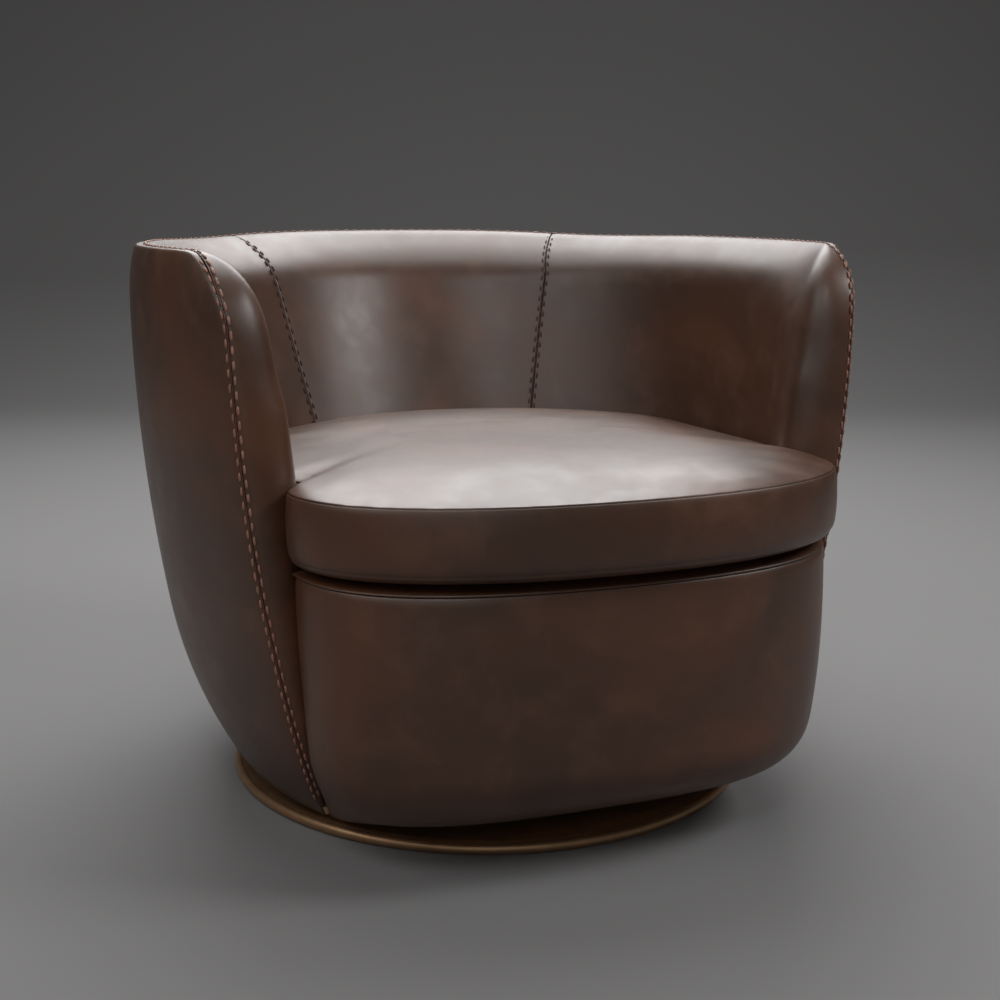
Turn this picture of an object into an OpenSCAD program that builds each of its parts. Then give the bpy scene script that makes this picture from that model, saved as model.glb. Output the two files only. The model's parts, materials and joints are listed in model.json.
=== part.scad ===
// Barrel-shaped swivel armchair with a loose seat cushion on a low round plinth.
// Millimetres. +Z is up, the front is -Y, and the origin is on the floor on the swivel axis.

/* [Tub] */
// Height of the rim at the middle of the back
tub_h = 674; // [640:1:720]
// Dip of the rim where the arms meet the back
rim_dip = 2; // [0:1:20]
// Distance of the dip behind the swivel axis
rim_dip_y = 320; // [290:5:370]
// Length of the rim over which the dip blends in, to each side
rim_dip_span = 150; // [120:5:260]
// Rise of the rim from the arms to the middle of the back
back_rise = 6; // [0:1:12]
// Half of the greatest width across the arms
tub_half_w = 436; // [420:1:460]
// Reach of the back behind the swivel axis
tub_reach = 493; // [480:1:520]
// Height at which the outer wall is widest
wide_z = 604; // [570:1:625]
// Height of the leather's lowest edge
body_z = 25; // [22:1:34]
// Radius of the outward sweep of the wall
side_sweep_r = 2170; // [1800:10:2800]
// Radius of the tuck at the foot of the wall
foot_sweep_r = 530; // [400:10:700]
// Height at which the tuck starts
foot_z = 231; // [210:1:250]
// Radius with which the wall turns in at the rim
rim_sweep_r = 290; // [250:5:800]

/* [Arms and back] */
// Height of the roll from the rim seam down to the inner wall
rim_roll = 62; // [40:1:75]
// Depth of the roll round the front of each arm
arm_roll = 51; // [40:1:65]
// Distance of the arm fronts in front of the swivel axis
arm_front = 254.5; // [245:0.5:264]
// Radius of the arm fronts towards the rim, seen from the side
arm_front_r = 2400; // [1500:50:3000]
// Height at which the arm fronts start to lean back towards the rim
arm_front_z = 450; // [420:1:480]
// Height under which the arm fronts draw back towards the floor
arm_foot_z = 240; // [220:1:260]
// Radius of the arm fronts where they draw back towards the floor
arm_foot_r = 400; // [350:10:600]
// Inner radius of the seat well at its gauge height
well_r = 340; // [332:1:350]
// Gauge height of the seat well
well_z = 406; // [390:2:420]
// Shift of the well's centre towards the front
well_shift = 50; // [35:1:60]
// Recline of the inner back, as run over rise
back_recline = 0.41; // [0.3:0.01:0.5]
// Flare of the inner sides, as run over rise
arm_flare = 0.09; // [0:0.005:0.12]
// Angle of each inner seam from the middle of the back, at the gauge height
inner_seam_angle = 30.6; // [24:0.2:36]
// Extra angle of each inner seam at the roll
inner_seam_spread = 6.2; // [0:0.2:10]

/* [Front panel] */
// Height of the front panel's top seam
panel_h = 331; // [322:1:338]
// Reach of the front panel in front of the swivel axis
panel_reach = 425; // [415:1:435]
// Half of the front panel's width at its top seam
panel_half_w = 317; // [308:1:324]
// Squareness of the front panel's plan at its top seam
panel_power = 2.55; // [2.2:0.05:2.8]
// Squareness of the front panel's plan at its lowest edge
panel_foot_power = 3.2; // [2.4:0.05:3.4]
// How far the middle of the panel draws in towards its lowest edge
panel_front_draw = 1; // [0:1:20]
// How far the panel's sides draw in towards its lowest edge
panel_side_draw = 33; // [10:1:40]
// Height at which the panel's foot starts to tuck in
panel_foot_z = 131; // [115:1:150]
// Radius of the tuck of the panel's foot
panel_foot_r = 100; // [95:1:130]
// Steepest turn of the panel's foot, in degrees
panel_foot_turn = 48; // [40:1:55]
// How much further than that round the middle of the foot tucks in
panel_front_tuck = 2.2; // [1.5:0.05:2.4]
// How much further than that round the sides of the foot tuck in
panel_side_tuck = 0.55; // [0.3:0.05:1]
// Depth of the panel's plan behind the arm fronts
panel_edge_depth = 22; // [15:1:30]

/* [Seat cushion] */
// Height of the cushion's underside at its front edge
deck_h = 345; // [340:1:352]
// Fall of the seat towards the back, in degrees
seat_pitch = 1.2; // [0.6:0.1:3]
// Reach of the cushion in front of the swivel axis
cushion_reach = 448; // [438:1:460]
// Half of the cushion's width in front of the arms
cushion_half_w = 325; // [315:1:332]
// Squareness of the cushion's front
cushion_power = 2.2; // [2.1:0.02:2.6]
// Height of the cushion's side between its two edges
cushion_side_h = 80; // [70:1:95]
// Rise of the crown above the top seam
cushion_crown = 27; // [15:1:40]
// Half of the cushion's width between the arm fronts
cushion_neck_w = 290; // [280:1:294]
// How far the sides pull in at the top seam
cushion_draw = 7; // [3:1:12]
// Clearance between the cushion and the well
cushion_gap = 3; // [2:0.5:8]
// Width of the zip tape
zip_w = 26; // [20:1:36]
// Angle that the zip spans along the back, to each side
zip_angle = 44; // [30:1:55]

/* [Leather, foam and wood] */
// Thickness of the leather
leather_t = 2; // [1.6:0.1:3]
// Thickness of the moulded plywood shell
shell_t = 9; // [6:0.5:12]
// Distance of the shell's edges from the seams
shell_set_back = 12; // [10:1:18]
// Thickness of the front foam
front_foam_t = 14; // [8:1:20]
// Thickness of the front board
front_board_t = 6; // [4:0.5:9]
// Depth of the hoop under the bottom board
hoop_h = 11; // [10:0.5:14]
// Width of the hoop
hoop_w = 34; // [30:1:38]
// Thickness of the bottom board
bottom_t = 18; // [12:1:25]
// Width of the fold of leather under the hoop
fold_w = 26; // [16:1:30]
// Thickness of the dust cover
dust_t = 1; // [0.6:0.1:2]
// Thickness of the seat frame
frame_t = 36; // [24:1:45]
// Radius of the opening in the seat frame
frame_hole_r = 250; // [235:1:262]
// Side of a post
post_w = 40; // [30:1:44]
// Depth of the front rail
rail_h = 58; // [40:1:70]
// Thickness of the front rail
rail_t = 24; // [18:1:30]
// Thickness of the deck foam
deck_foam_t = 22; // [15:1:26]
// Thickness of the deck felt
deck_felt_t = 4; // [2:0.5:6]
// Thickness of the deck cloth and of the leather lip
deck_cloth_t = 1.2; // [0.8:0.1:2]
// Depth of the leather lip along the front of the deck
lip_w = 78; // [50:1:110]
// Width of one webbing strap
web_w = 60; // [40:1:70]
// Thickness of one webbing strap
web_t = 2; // [1:0.2:3]
// Distance between the middles of webbing straps
web_pitch = 92; // [80:1:100]

/* [Swivel] */
// Radius of the swivel's plates
plate_r = 150; // [146:1:158]
// Thickness of the swivel's plates
plate_t = 4; // [3:0.5:5]
// Radius of the circle on which the balls run
ball_circle_r = 108; // [90:1:110]
// Diameter of a ball
ball_d = 8; // [6:0.5:9]
// Number of balls
ball_count = 36; // [20:1:44]
// Clearance between a ball and its race
ball_gap = 0.1; // [0.05:0.01:0.2]
// Space between the two races
race_gap = 2.4; // [2:0.1:3]
// Width of a race
race_w = 24; // [18:1:26]
// Thickness of the ball cage
cage_t = 1.4; // [1:0.1:1.6]
// Diameter of the swivel pin
pin_d = 12; // [10:0.5:16]
// Radial clearance between the pin and its bush
pin_gap = 0.05; // [0.02:0.01:0.1]
// Radius of the plates' fixing circle
fixing_r = 135; // [130:1:138]
// Number of fixings on each plate
fixing_count = 6; // [4:1:8]
// Diameter of a fixing's shank
fixing_d = 6; // [5:0.5:7]

/* [Base] */
// Outer radius of the base ring
ring_r = 332; // [325:0.5:345]
// Height of the base ring above the floor
ring_h = 14; // [13:0.5:16]
// Radius of the ring's rounded bead
bead_r = 6.5; // [4:0.25:6.5]
// Width of the groove inside the bead
groove_w = 1.6; // [1:0.2:3]
// Depth of the groove
groove_d = 1; // [0.4:0.1:1.2]
// Width of the ring's flat inner step
ring_step_w = 17; // [10:0.5:30]
// Gap between the ring and the floor
ring_lift = 0.8; // [0.4:0.1:1.5]
// Thickness of the base plate and of the ring's step
base_plate_t = 1.5; // [1:0.1:3]
// Thickness of the floor pad
floor_pad_t = 2; // [1.6:0.1:4]

/* [Hidden] */

LEATHER = "#4a3026";
BRONZE = "#7a5f43";
STEEL = "#8f9499";
PLYWOOD = "#c9a36b";
FOAM = "#e8dcb4";
CLOTH = "#2a2a2c";
SMOOTH = 96;
FINE = 48;
// Clearance between pieces that lie against each other along a curve.
lie = 0.3;
function sq(x) = x * x;

// Outer wall. Its side view is three arcs that meet smoothly, and its plan is an ellipse.
plan_k = tub_reach / tub_half_w;
sweep_angle = asin((wide_z - foot_z) / side_sweep_r);
foot_x = tub_half_w - side_sweep_r + (side_sweep_r - foot_sweep_r) * cos(sweep_angle);
foot_y = wide_z - (side_sweep_r - foot_sweep_r) * sin(sweep_angle);
function wall_r(z, inset = 0) =
    z > wide_z ? tub_half_w - rim_sweep_r + sqrt(sq(rim_sweep_r - inset) - sq(z - wide_z))
    : z > foot_y - (foot_sweep_r - inset) * sin(sweep_angle)
        ? tub_half_w - side_sweep_r + sqrt(sq(side_sweep_r - inset) - sq(wide_z - z))
    : foot_x + sqrt(sq(foot_sweep_r - inset) - sq(foot_y - z));
// Levels of the wall's side view: close together where it bends most.
foot_steps = 12;
side_steps = 10;
rim_steps = 5;
wall_levels = concat([for (i = [0:foot_steps - 1]) body_z + (foot_z - body_z) * i / foot_steps],
    [for (i = [0:side_steps - 1]) foot_z + (wide_z - foot_z) * i / side_steps],
    [for (i = [0:rim_steps]) wide_z + (tub_h - wide_z) * i / rim_steps]);
function wall_points(inset, z_low, z_high) =
    [for (z = concat([z_low], [for (l = wall_levels) if (l > z_low && l < z_high) l], [z_high]))
        [wall_r(z, inset), z]];
function reversed(list) = [for (i = [len(list) - 1:-1:0]) list[i]];
module wall_band(inset_out, inset_in, z_low, z_high) {
    rotate_extrude($fn = SMOOTH)
        polygon(concat(wall_points(inset_out, z_low, z_high), reversed(wall_points(inset_in, z_low, z_high))));
}
// Front edge of the arms and top edge of the rim, seen from the side.
function arc_rise(depth, radius) = radius - sqrt(sq(radius) - sq(max(0, depth)));
function arm_front_y(z) = -arm_front
    + arc_rise(z - arm_front_z, arm_front_r) + arc_rise(arm_foot_z - z, arm_foot_r);
function ease(t) = (1 - cos(180 * min(1, max(0, t)))) / 2;
function rim_drop(y) = back_rise * (1 - ease((y - rim_dip_y) / (tub_reach - rim_dip_y)))
    + rim_dip * ease(1 - abs(y - rim_dip_y) / rim_dip_span);
corner_steps = 10;
front_steps = 28;
top_steps = 24;
function side_view(inset, z_low) = let (
        y_mid = arm_front_y(tub_h) + arm_roll,
        start_z = tub_h - rim_roll - rim_drop(y_mid),
        top = tub_h - inset)
    concat([for (i = [0:front_steps]) let (z = z_low + (start_z - z_low) * i / front_steps)
            [arm_front_y(z) + inset, z]],
        [for (i = [1:corner_steps]) let (a = 90 * i / corner_steps, z = start_z + (rim_roll - inset) * sin(a))
            [arm_front_y(z) + inset + (arm_roll - inset) * (1 - cos(a)), z]],
        [for (i = [1:top_steps]) let (y = y_mid + (tub_reach - y_mid) * i / top_steps) [y, top - rim_drop(y)]],
        [[2 * tub_reach, top], [2 * tub_reach, z_low]]);
// Everything behind the arms' front edge and under the rim, before the plan is stretched.
module behind_arm_fronts(inset, z_low) {
    rotate([90, 0, 90]) translate([0, 0, -tub_half_w - 10]) linear_extrude(2 * tub_half_w + 20)
        polygon([for (p = side_view(inset, z_low)) [p[0] / plan_k, p[1]]]);
}

// Seat slope: pieces of the seat are drawn level and turned about the cushion's front edge.
deck_top = deck_h - lie;
web_z = deck_top - deck_cloth_t - deck_foam_t - deck_felt_t - 2 * web_t;
frame_z = web_z - lie;
function seat_fall(y) = (y + cushion_reach) * tan(seat_pitch);
function frame_top(y) = frame_z - seat_fall(y);
module seat_slope() {
    translate([0, -cushion_reach, deck_h]) rotate([-seat_pitch, 0, 0])
        translate([0, cushion_reach, -deck_h]) children();
}

// Inner wall of the arms and back in plan: round towards the front, deeper towards the back.
function well_half_w(z, off = 0) = well_r + off + arm_flare * (z - well_z);
function well_half_d(z, off = 0) = well_r + off + back_recline * (z - well_z);
function well_x(y, z, off) = let (v = y + well_shift, d = v < 0 ? well_half_w(z, off) : well_half_d(z, off))
    well_half_w(z, off) * sqrt(max(0, 1 - sq(v / d)));
function wall_x(y, z, off) = let (r = wall_r(z, off)) r * sqrt(max(0, 1 - sq(y / (r * plan_k))));

// Surface of the arms and back as a grid. Rows run from the floor end of the arm fronts up,
// then up the seat well and over the roll to the rim seam. Columns run from the left arm's
// front seam round the back to the right arm's front seam.
low_rows = 10;
well_rows = 4;
roll_rows = 6;
last_row = low_rows + well_rows + roll_rows;
roll_columns = 6;
low_columns = 2;
side_columns = 11;
back_columns = 6;
half_columns = roll_columns + side_columns + back_columns;
last_column = 2 * half_columns;
bottom_z = body_z + leather_t + hoop_h;
strip_low_z = bottom_z + lie;
least_arm_t = 12;
function row_roll(j) = j < low_rows + well_rows ? 90 : 90 * (last_row - j) / roll_rows;
function row_z(j, y, off) = let (foot = frame_top(y) + lie, start = tub_h - rim_roll - rim_drop(y))
    j <= low_rows ? strip_low_z + (foot - strip_low_z) * j / low_rows
    : j <= low_rows + well_rows ? foot + (start - foot) * (j - low_rows) / well_rows
    : start + (rim_roll - off) * cos(row_roll(j));
function seam_turn(z) = inner_seam_angle + inner_seam_spread
    * min(1, max(0, (z - well_z) / (tub_h - rim_roll - well_z)));
// Point of the left half: i is the column, j the row, off the depth below the leather's face.
function outer_y(i, z, roll, off, inset) = let (
        spread = 90 * min(1, i / roll_columns),
        start = arm_front_y(z) + arm_roll - (arm_roll - off) * sin(roll) * cos(spread),
        back = wall_r(z, inset) * plan_k,
        from = acos(start / back),
        seam = seam_turn(z))
    i <= roll_columns ? start
    : i <= roll_columns + side_columns ? back * cos(from + (seam - from) * (i - roll_columns) / side_columns)
    : back * cos(seam * (half_columns - i) / back_columns);
function well_y(y, z, off) =
    y > 0 ? y * (well_half_d(z, off) - well_shift) / (wall_r(z, off) * plan_k) : y;
function level_at(i, j, z, roll, off, depth, share) = let (y = outer_y(i, z, roll, off, off + depth))
    row_z(j, j < low_rows ? -arm_front : y + share * (well_y(y, z, off) - y), off);
// With a depth, the point lies that far inside the outer wall, and else on the leather's face.
function half_point(i, j, off, depth) = let (
        roll = row_roll(j),
        f = sin(roll) * sin(90 * min(1, i / roll_columns)),
        share = depth > 0 ? 0 : f,
        z_first = level_at(i, j, row_z(j, -arm_front, off), roll, off, depth, share),
        z = level_at(i, j, z_first, roll, off, depth, share),
        y = outer_y(i, z, roll, off, off),
        yi = well_y(y, z, off),
        middle = i == half_columns,
        xo = middle ? 0 : wall_x(y, z, off),
        xi = middle ? 0 : min(well_x(yi, z, off), xo - (i < roll_columns ? least_arm_t : 0)),
        inset = off + min(depth, 0.6 * f * norm([xo - xi, y - yi])),
        y_in = outer_y(i, z, roll, off, inset))
    depth > 0 ? [middle ? 0 : wall_x(y_in, z, inset), y_in, z]
    : [xo + f * (xi - xo), y + f * (yi - y), z];
function tub_point(i, j, off, depth) = let (left = i <= half_columns,
        p = half_point(left ? i : last_column - i, j, off, depth))
    [left ? -p[0] : p[0], p[1], p[2]];
function tub_grid(off, depth = 0) =
    [for (j = [0:last_row]) [for (i = [0:last_column]) tub_point(i, j, off, depth)]];

// Closed sheet between two grids of the same size. Cells that has(i, j) leaves out stay open.
module sheet(face, back, has) {
    rows = len(face);
    columns = len(face[0]);
    n = rows * columns;
    function at(i, j) = j * columns + i;
    function cell(i, j) = i >= 0 && j >= 0 && i < columns - 1 && j < rows - 1 && has(i, j);
    function strip(a, b) = [[a, b, n + b], [a, n + b, n + a]];
    function strip_back(a, b) = [[a, b, n + a], [b, n + b, n + a]];
    faces = [for (j = [0:rows - 2], i = [0:columns - 2]) if (cell(i, j))
        each concat(
            [[at(i, j), at(i, j + 1), at(i + 1, j + 1)], [at(i, j), at(i + 1, j + 1), at(i + 1, j)]],
            [[n + at(i, j), n + at(i + 1, j + 1), n + at(i, j + 1)],
                [n + at(i, j), n + at(i + 1, j), n + at(i + 1, j + 1)]],
            cell(i, j - 1) ? [] : strip(at(i, j), at(i + 1, j)),
            cell(i + 1, j) ? [] : strip(at(i + 1, j), at(i + 1, j + 1)),
            cell(i, j + 1) ? [] : strip_back(at(i + 1, j + 1), at(i, j + 1)),
            cell(i - 1, j) ? [] : strip_back(at(i, j + 1), at(i, j)))];
    points = [for (g = [face, back]) each [for (r = g) each r]];
    polyhedron(points, faces, convexity = 10);
}
// Closed solid through rings of points, from its underside to its top.
module ringed(rings, low, high) {
    n = len(rings[0]);
    m = len(rings);
    function at(i, j) = j * n + i % n;
    polyhedron(concat([for (r = rings) each r], [low, high]),
        concat([for (j = [0:m - 2], i = [0:n - 1])
                each [[at(i, j), at(i, j + 1), at(i + 1, j + 1)], [at(i, j), at(i + 1, j + 1), at(i + 1, j)]]],
            [for (i = [0:n - 1]) [at(i, 0), at(i + 1, 0), m * n]],
            [for (i = [0:n - 1]) [at(i + 1, m - 1), at(i, m - 1), m * n + 1]]), convexity = 6);
}

// Front panel. Its plan is half a superellipse that reaches back to the arm fronts.
panel_columns = 26;
function panel_share(z) = (panel_h - z) / (panel_h - body_z);
// The foot's tuck is a round that goes on as a straight slope.
function panel_foot(z) = let (d = panel_foot_z - z, bend = panel_foot_r * sin(panel_foot_turn))
    d <= 0 ? 0 : d < bend ? panel_foot_r - sqrt(sq(panel_foot_r) - sq(d))
    : panel_foot_r * (1 - cos(panel_foot_turn)) + (d - bend) * tan(panel_foot_turn);
function panel_power_at(z) = panel_power + (panel_foot_power - panel_power) * panel_share(z);
function panel_w(z, off) = min(wall_x(arm_front_y(z), z, 0),
    panel_half_w - panel_side_draw * sq(panel_share(z)) - panel_side_tuck * panel_foot(z)) - off;
function panel_base_y(z) = arm_front_y(z) + panel_edge_depth;
function panel_d(z, off) = panel_reach - panel_front_draw * sq(panel_share(z))
    - panel_front_tuck * panel_foot(z) + panel_base_y(z) - off;
function panel_edge_turn(z, off) = acos(pow((panel_edge_depth + lie) / panel_d(z, off), panel_power_at(z) / 2));
function power_arc(turn, w, d, power) =
    [w * sign(turn) * pow(abs(sin(turn)), 2 / power), -d * pow(cos(turn), 2 / power)];
function panel_arc(z, off, height) = let (last = panel_edge_turn(z, off))
    [for (i = [0:panel_columns]) let (
            s = 2 * i / panel_columns - 1,
            p = power_arc(last * s, panel_w(z, off), panel_d(z, off), panel_power_at(z)))
        [p[0], panel_base_y(z) + p[1], height]];
function panel_y(x, z, off) = let (power = panel_power_at(z))
    panel_base_y(z) - panel_d(z, off) * pow(max(0, 1 - pow(abs(x) / panel_w(z, off), power)), 1 / power);
// Levels that the panel's board, foam and leather share, so that they lie flat on each other.
board_steps = 9;
board_top = frame_top(-panel_reach) - 2 * lie;
board_levels = [for (j = [0:board_steps]) let (s = j / board_steps)
    bottom_z + (board_top - bottom_z) * s * (0.35 + 0.65 * s)];
foam_levels = concat(board_levels, [panel_h - leather_t]);
function panel_grid(off, levels) = [for (z = levels) panel_arc(z, off, z)];
module panel_sheet(off, t, levels) {
    sheet(panel_grid(off, levels), panel_grid(off + t, levels), function(i, j) true);
}
// Outline of the whole body in plan at one height: front panel, then the wall round the back.
wall_columns = 44;
function body_outline(z, off) = let (
        front = panel_arc(z, off, z),
        r = wall_r(z, off),
        from = acos(min(1, wall_x(arm_front_y(z), z, off) / r)))
    concat([for (p = front) [p[0], p[1]]],
        [for (i = [0:wall_columns]) let (a = -from + (180 + 2 * from) * i / wall_columns)
            [r * cos(a), r * plan_k * sin(a)]]);

// Tub: leather, foam and shell of the arms and back
low_cells = function(i, j) j >= low_rows || i < low_columns || i >= last_column - low_columns;
seam_left = roll_columns + side_columns;
seam_right = last_column - seam_left;
module inner_leather(from, to) {
    color(LEATHER) sheet(tub_grid(0), tub_grid(leather_t),
        function(i, j) i >= from && i < to && low_cells(i, j));
}
module inner_leather_left() { inner_leather(0, seam_left); }
module inner_leather_back() { inner_leather(seam_left, seam_right); }
module inner_leather_right() { inner_leather(seam_right, last_column); }
module arm_back_foam() {
    color(FOAM) sheet(tub_grid(leather_t), tub_grid(leather_t, shell_t + 2 * lie), low_cells);
}
module outer_leather() {
    color(LEATHER) scale([1, plan_k, 1]) intersection() {
        union() {
            wall_band(0, leather_t, body_z, tub_h);
            rotate_extrude($fn = SMOOTH)
                translate([wall_r(body_z) - fold_w, body_z]) square([fold_w - leather_t / 2, leather_t]);
        }
        behind_arm_fronts(leather_t + 2 * lie, body_z - 1);
    }
}
module plywood_shell() {
    color(PLYWOOD) scale([1, plan_k, 1]) intersection() {
        wall_band(leather_t + lie, leather_t + lie + shell_t, bottom_z, tub_h - shell_set_back / 2);
        behind_arm_fronts(shell_set_back, bottom_z - 1);
    }
}

// Front panel: leather with its fold under the hoop, foam, and curved board
fold_top = body_z + leather_t;
module front_leather() {
    color(LEATHER) sheet(
        concat([panel_arc(body_z, fold_w, body_z)], panel_grid(0, concat([body_z], foam_levels, [panel_h]))),
        concat([panel_arc(body_z, fold_w, fold_top)],
            panel_grid(leather_t, concat([fold_top], foam_levels, [panel_h]))),
        function(i, j) true);
}
module front_foam() {
    color(FOAM) panel_sheet(leather_t, front_foam_t, foam_levels);
}
board_off = leather_t + front_foam_t;
rail_low_z = frame_z - rail_h;
// Distance from the leather's face of a level piece whose lowest face is at height z.
function behind(depth, z) = depth + lie + (deck_h - z) * sin(seat_pitch);
rail_off = behind(board_off + front_board_t, rail_low_z);
rail_gauge_z = frame_top(-arm_front) - 0.6 * rail_h;
module front_board() {
    color(PLYWOOD) panel_sheet(board_off, front_board_t, board_levels);
}
// Lip: the leather turns from the panel's top seam over the edge of the deck foam.
lip_rows = [[0, 0], [0.8, 0.35], [4, 0.68], [9.5, 0.9], [board_off, 1], [lip_w, 1]];
function lip_grid(depth) = [for (row = lip_rows)
    [for (p = panel_arc(panel_h, row[0] + depth * (1 - row[1]), 0)) let (top = deck_top - seat_fall(p[1]))
        [p[0], p[1], panel_h + (top - panel_h) * row[1] - depth * row[1]]]];
module deck_lip_leather() {
    color(LEATHER) sheet(lip_grid(0), lip_grid(deck_cloth_t), function(i, j) true);
}

// Frame and deck
module ring_solid(low, high, low_hole, high_hole) {
    n = len(low);
    rings = [low_hole, low, high, high_hole];
    function at(i, k) = (k % 4) * n + i % n;
    polyhedron([for (r = rings) each r],
        [for (k = [0:3], i = [0:n - 1])
            each [[at(i, k), at(i, k + 1), at(i + 1, k + 1)], [at(i, k), at(i + 1, k + 1), at(i + 1, k)]]],
        convexity = 6);
}
function at_height(outline, z) = [for (p = outline) [p[0], p[1], z]];
module bottom_hoop() {
    edge = leather_t + lie;
    color(PLYWOOD) ring_solid(
        at_height(body_outline(fold_top, edge), fold_top), at_height(body_outline(bottom_z, edge), bottom_z),
        at_height(body_outline(fold_top, hoop_w), fold_top), at_height(body_outline(fold_top, hoop_w), bottom_z));
}
tee_barrel_d = fixing_d + 2;
access_d = 60;
module on_circle(radius, count) {
    for (i = [0:count - 1]) rotate([0, 0, 360 * (i + 0.5) / count]) translate([radius, 0, 0]) children();
}
module bottom_board() {
    color(PLYWOOD) difference() {
        translate([0, 0, bottom_z]) linear_extrude(bottom_t) polygon(body_outline(bottom_z, board_off + front_board_t + lie));
        translate([0, 0, bottom_z - 1]) cylinder(d = access_d, h = bottom_t + 2, $fn = FINE);
        on_circle(fixing_r, fixing_count) translate([0, 0, bottom_z - 1])
            cylinder(d = tee_barrel_d + 2 * pin_gap, h = bottom_t + 2, $fn = FINE);
    }
}
module dust_cover() {
    color(CLOTH) translate([0, 0, bottom_z - dust_t]) difference() {
        cylinder(r = min(wall_r(fold_top, hoop_w), -panel_y(0, fold_top, hoop_w)) - 6, h = dust_t, $fn = SMOOTH);
        translate([0, 0, -1]) cylinder(r = plate_r + 8, h = dust_t + 2, $fn = SMOOTH);
    }
}
// The frame ends behind the foam of the arm fronts.
frame_front = -outer_y(low_columns, frame_top(-arm_front) - frame_t, 90, leather_t, leather_t) - lie;
stretched_pitch = atan(tan(seat_pitch) * plan_k);
module seat_frame() {
    top_r = tub_half_w;
    color(PLYWOOD) scale([1, plan_k, 1]) difference() {
        intersection() {
            rotate_extrude($fn = SMOOTH)
                polygon(concat([[0, bottom_z]], wall_points(leather_t + shell_t + 2 * lie, bottom_z, panel_h), [[0, panel_h]]));
            translate([0, -cushion_reach / plan_k, frame_z]) rotate([-stretched_pitch, 0, 0])
                translate([-top_r, 0, -frame_t]) cube([2 * top_r, 3 * top_r, frame_t]);
        }
        translate([0, -well_shift, 0]) cylinder(r = frame_hole_r, h = tub_h, $fn = SMOOTH);
        translate([-top_r, -frame_front / plan_k - top_r, 0]) cube([2 * top_r, top_r, tub_h]);
    }
}
post_places = [[215, -200], [285, 20], [150, 240]];
function frame_under(y) = frame_top(y) - frame_t / cos(stretched_pitch);
module posts() {
    board_top = bottom_z + bottom_t;
    color(PLYWOOD) for (side = [-1, 1], p = post_places) {
        near = p[1] - post_w / 2;
        far = p[1] + post_w / 2;
        translate([side * p[0] - post_w / 2, 0, 0]) rotate([90, 0, 90]) linear_extrude(post_w)
            polygon([[near, board_top], [far, board_top], [far, frame_under(far)], [near, frame_under(near)]]);
    }
}
module front_rail() {
    outer = panel_arc(rail_gauge_z, rail_off, 0);
    inner = panel_arc(rail_gauge_z, rail_off + rail_t, 0);
    last = len(outer) - 1;
    color(PLYWOOD) seat_slope() translate([0, 0, rail_low_z]) linear_extrude(rail_h)
        polygon(concat([[outer[0][0], -frame_front]], [for (p = outer) [p[0], p[1]]],
            [[outer[last][0], -frame_front], [inner[last][0], -frame_front]],
            reversed([for (p = inner) [p[0], p[1]]]), [[inner[0][0], -frame_front]]));
}
web_count = 5;
web_hold = 35;
web_r = frame_hole_r + web_hold;
web_inset = 6;
web_gauge_z = frame_top(well_r);
web_offsets = [for (i = [0:web_count - 1]) (i - (web_count - 1) / 2) * web_pitch];
module webbing_long() {
    color(CLOTH) seat_slope() for (x = web_offsets) {
        edge = abs(x) + web_w / 2;
        y_front = panel_y(edge, rail_gauge_z, rail_off + lie);
        y_back = -well_shift
            + (well_half_d(web_gauge_z) - web_inset) * sqrt(1 - sq(edge / well_half_w(web_gauge_z)));
        translate([x - web_w / 2, y_front, web_z]) cube([web_w, y_back - y_front, web_t]);
    }
}
module webbing_cross() {
    color(CLOTH) seat_slope() for (y = web_offsets) {
        half = web_r * sqrt(1 - sq((abs(y) + web_w / 2) / web_r));
        translate([-half, y - well_shift - web_w / 2, web_z + web_t]) cube([2 * half, web_w, web_t]);
    }
}
// Plan of the deck: the panel's curve in front, the seat well behind.
deck_gap = 1;
deck_arc_steps = 24;
function deck_plan(z, off) = let (
        front = panel_arc(min(panel_h, z - seat_fall(-arm_front)), off, 0),
        low_z = frame_top(well_r),
        w = well_half_w(low_z) - deck_gap,
        d = well_half_d(low_z) - deck_gap,
        neck = cushion_neck_w - deck_gap,
        neck_y = arm_front_y(panel_h) + deck_gap,
        from = acos(neck / w))
    concat([for (p = front) if (abs(p[0]) < neck) [p[0], p[1]]], [[neck, neck_y]],
        [for (i = [0:deck_arc_steps]) let (a = -from + (180 + 2 * from) * i / deck_arc_steps)
            [w * cos(a), -well_shift + (sin(a) > 0 ? d : w) * sin(a)]],
        [[-neck, neck_y]]);
module deck_layer(z, t, off) {
    seat_slope() translate([0, 0, z]) linear_extrude(t) polygon(deck_plan(z, off));
}
felt_z = web_z + 2 * web_t;
module deck_felt() { color(CLOTH) deck_layer(felt_z, deck_felt_t, behind(board_off + front_board_t, felt_z)); }
module deck_foam() {
    foam_z = felt_z + deck_felt_t;
    color(FOAM) deck_layer(foam_z, deck_foam_t, behind(board_off, foam_z));
}
module deck_cloth() { color(CLOTH) deck_layer(deck_top - deck_cloth_t, deck_cloth_t, lip_w + lie); }

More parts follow.
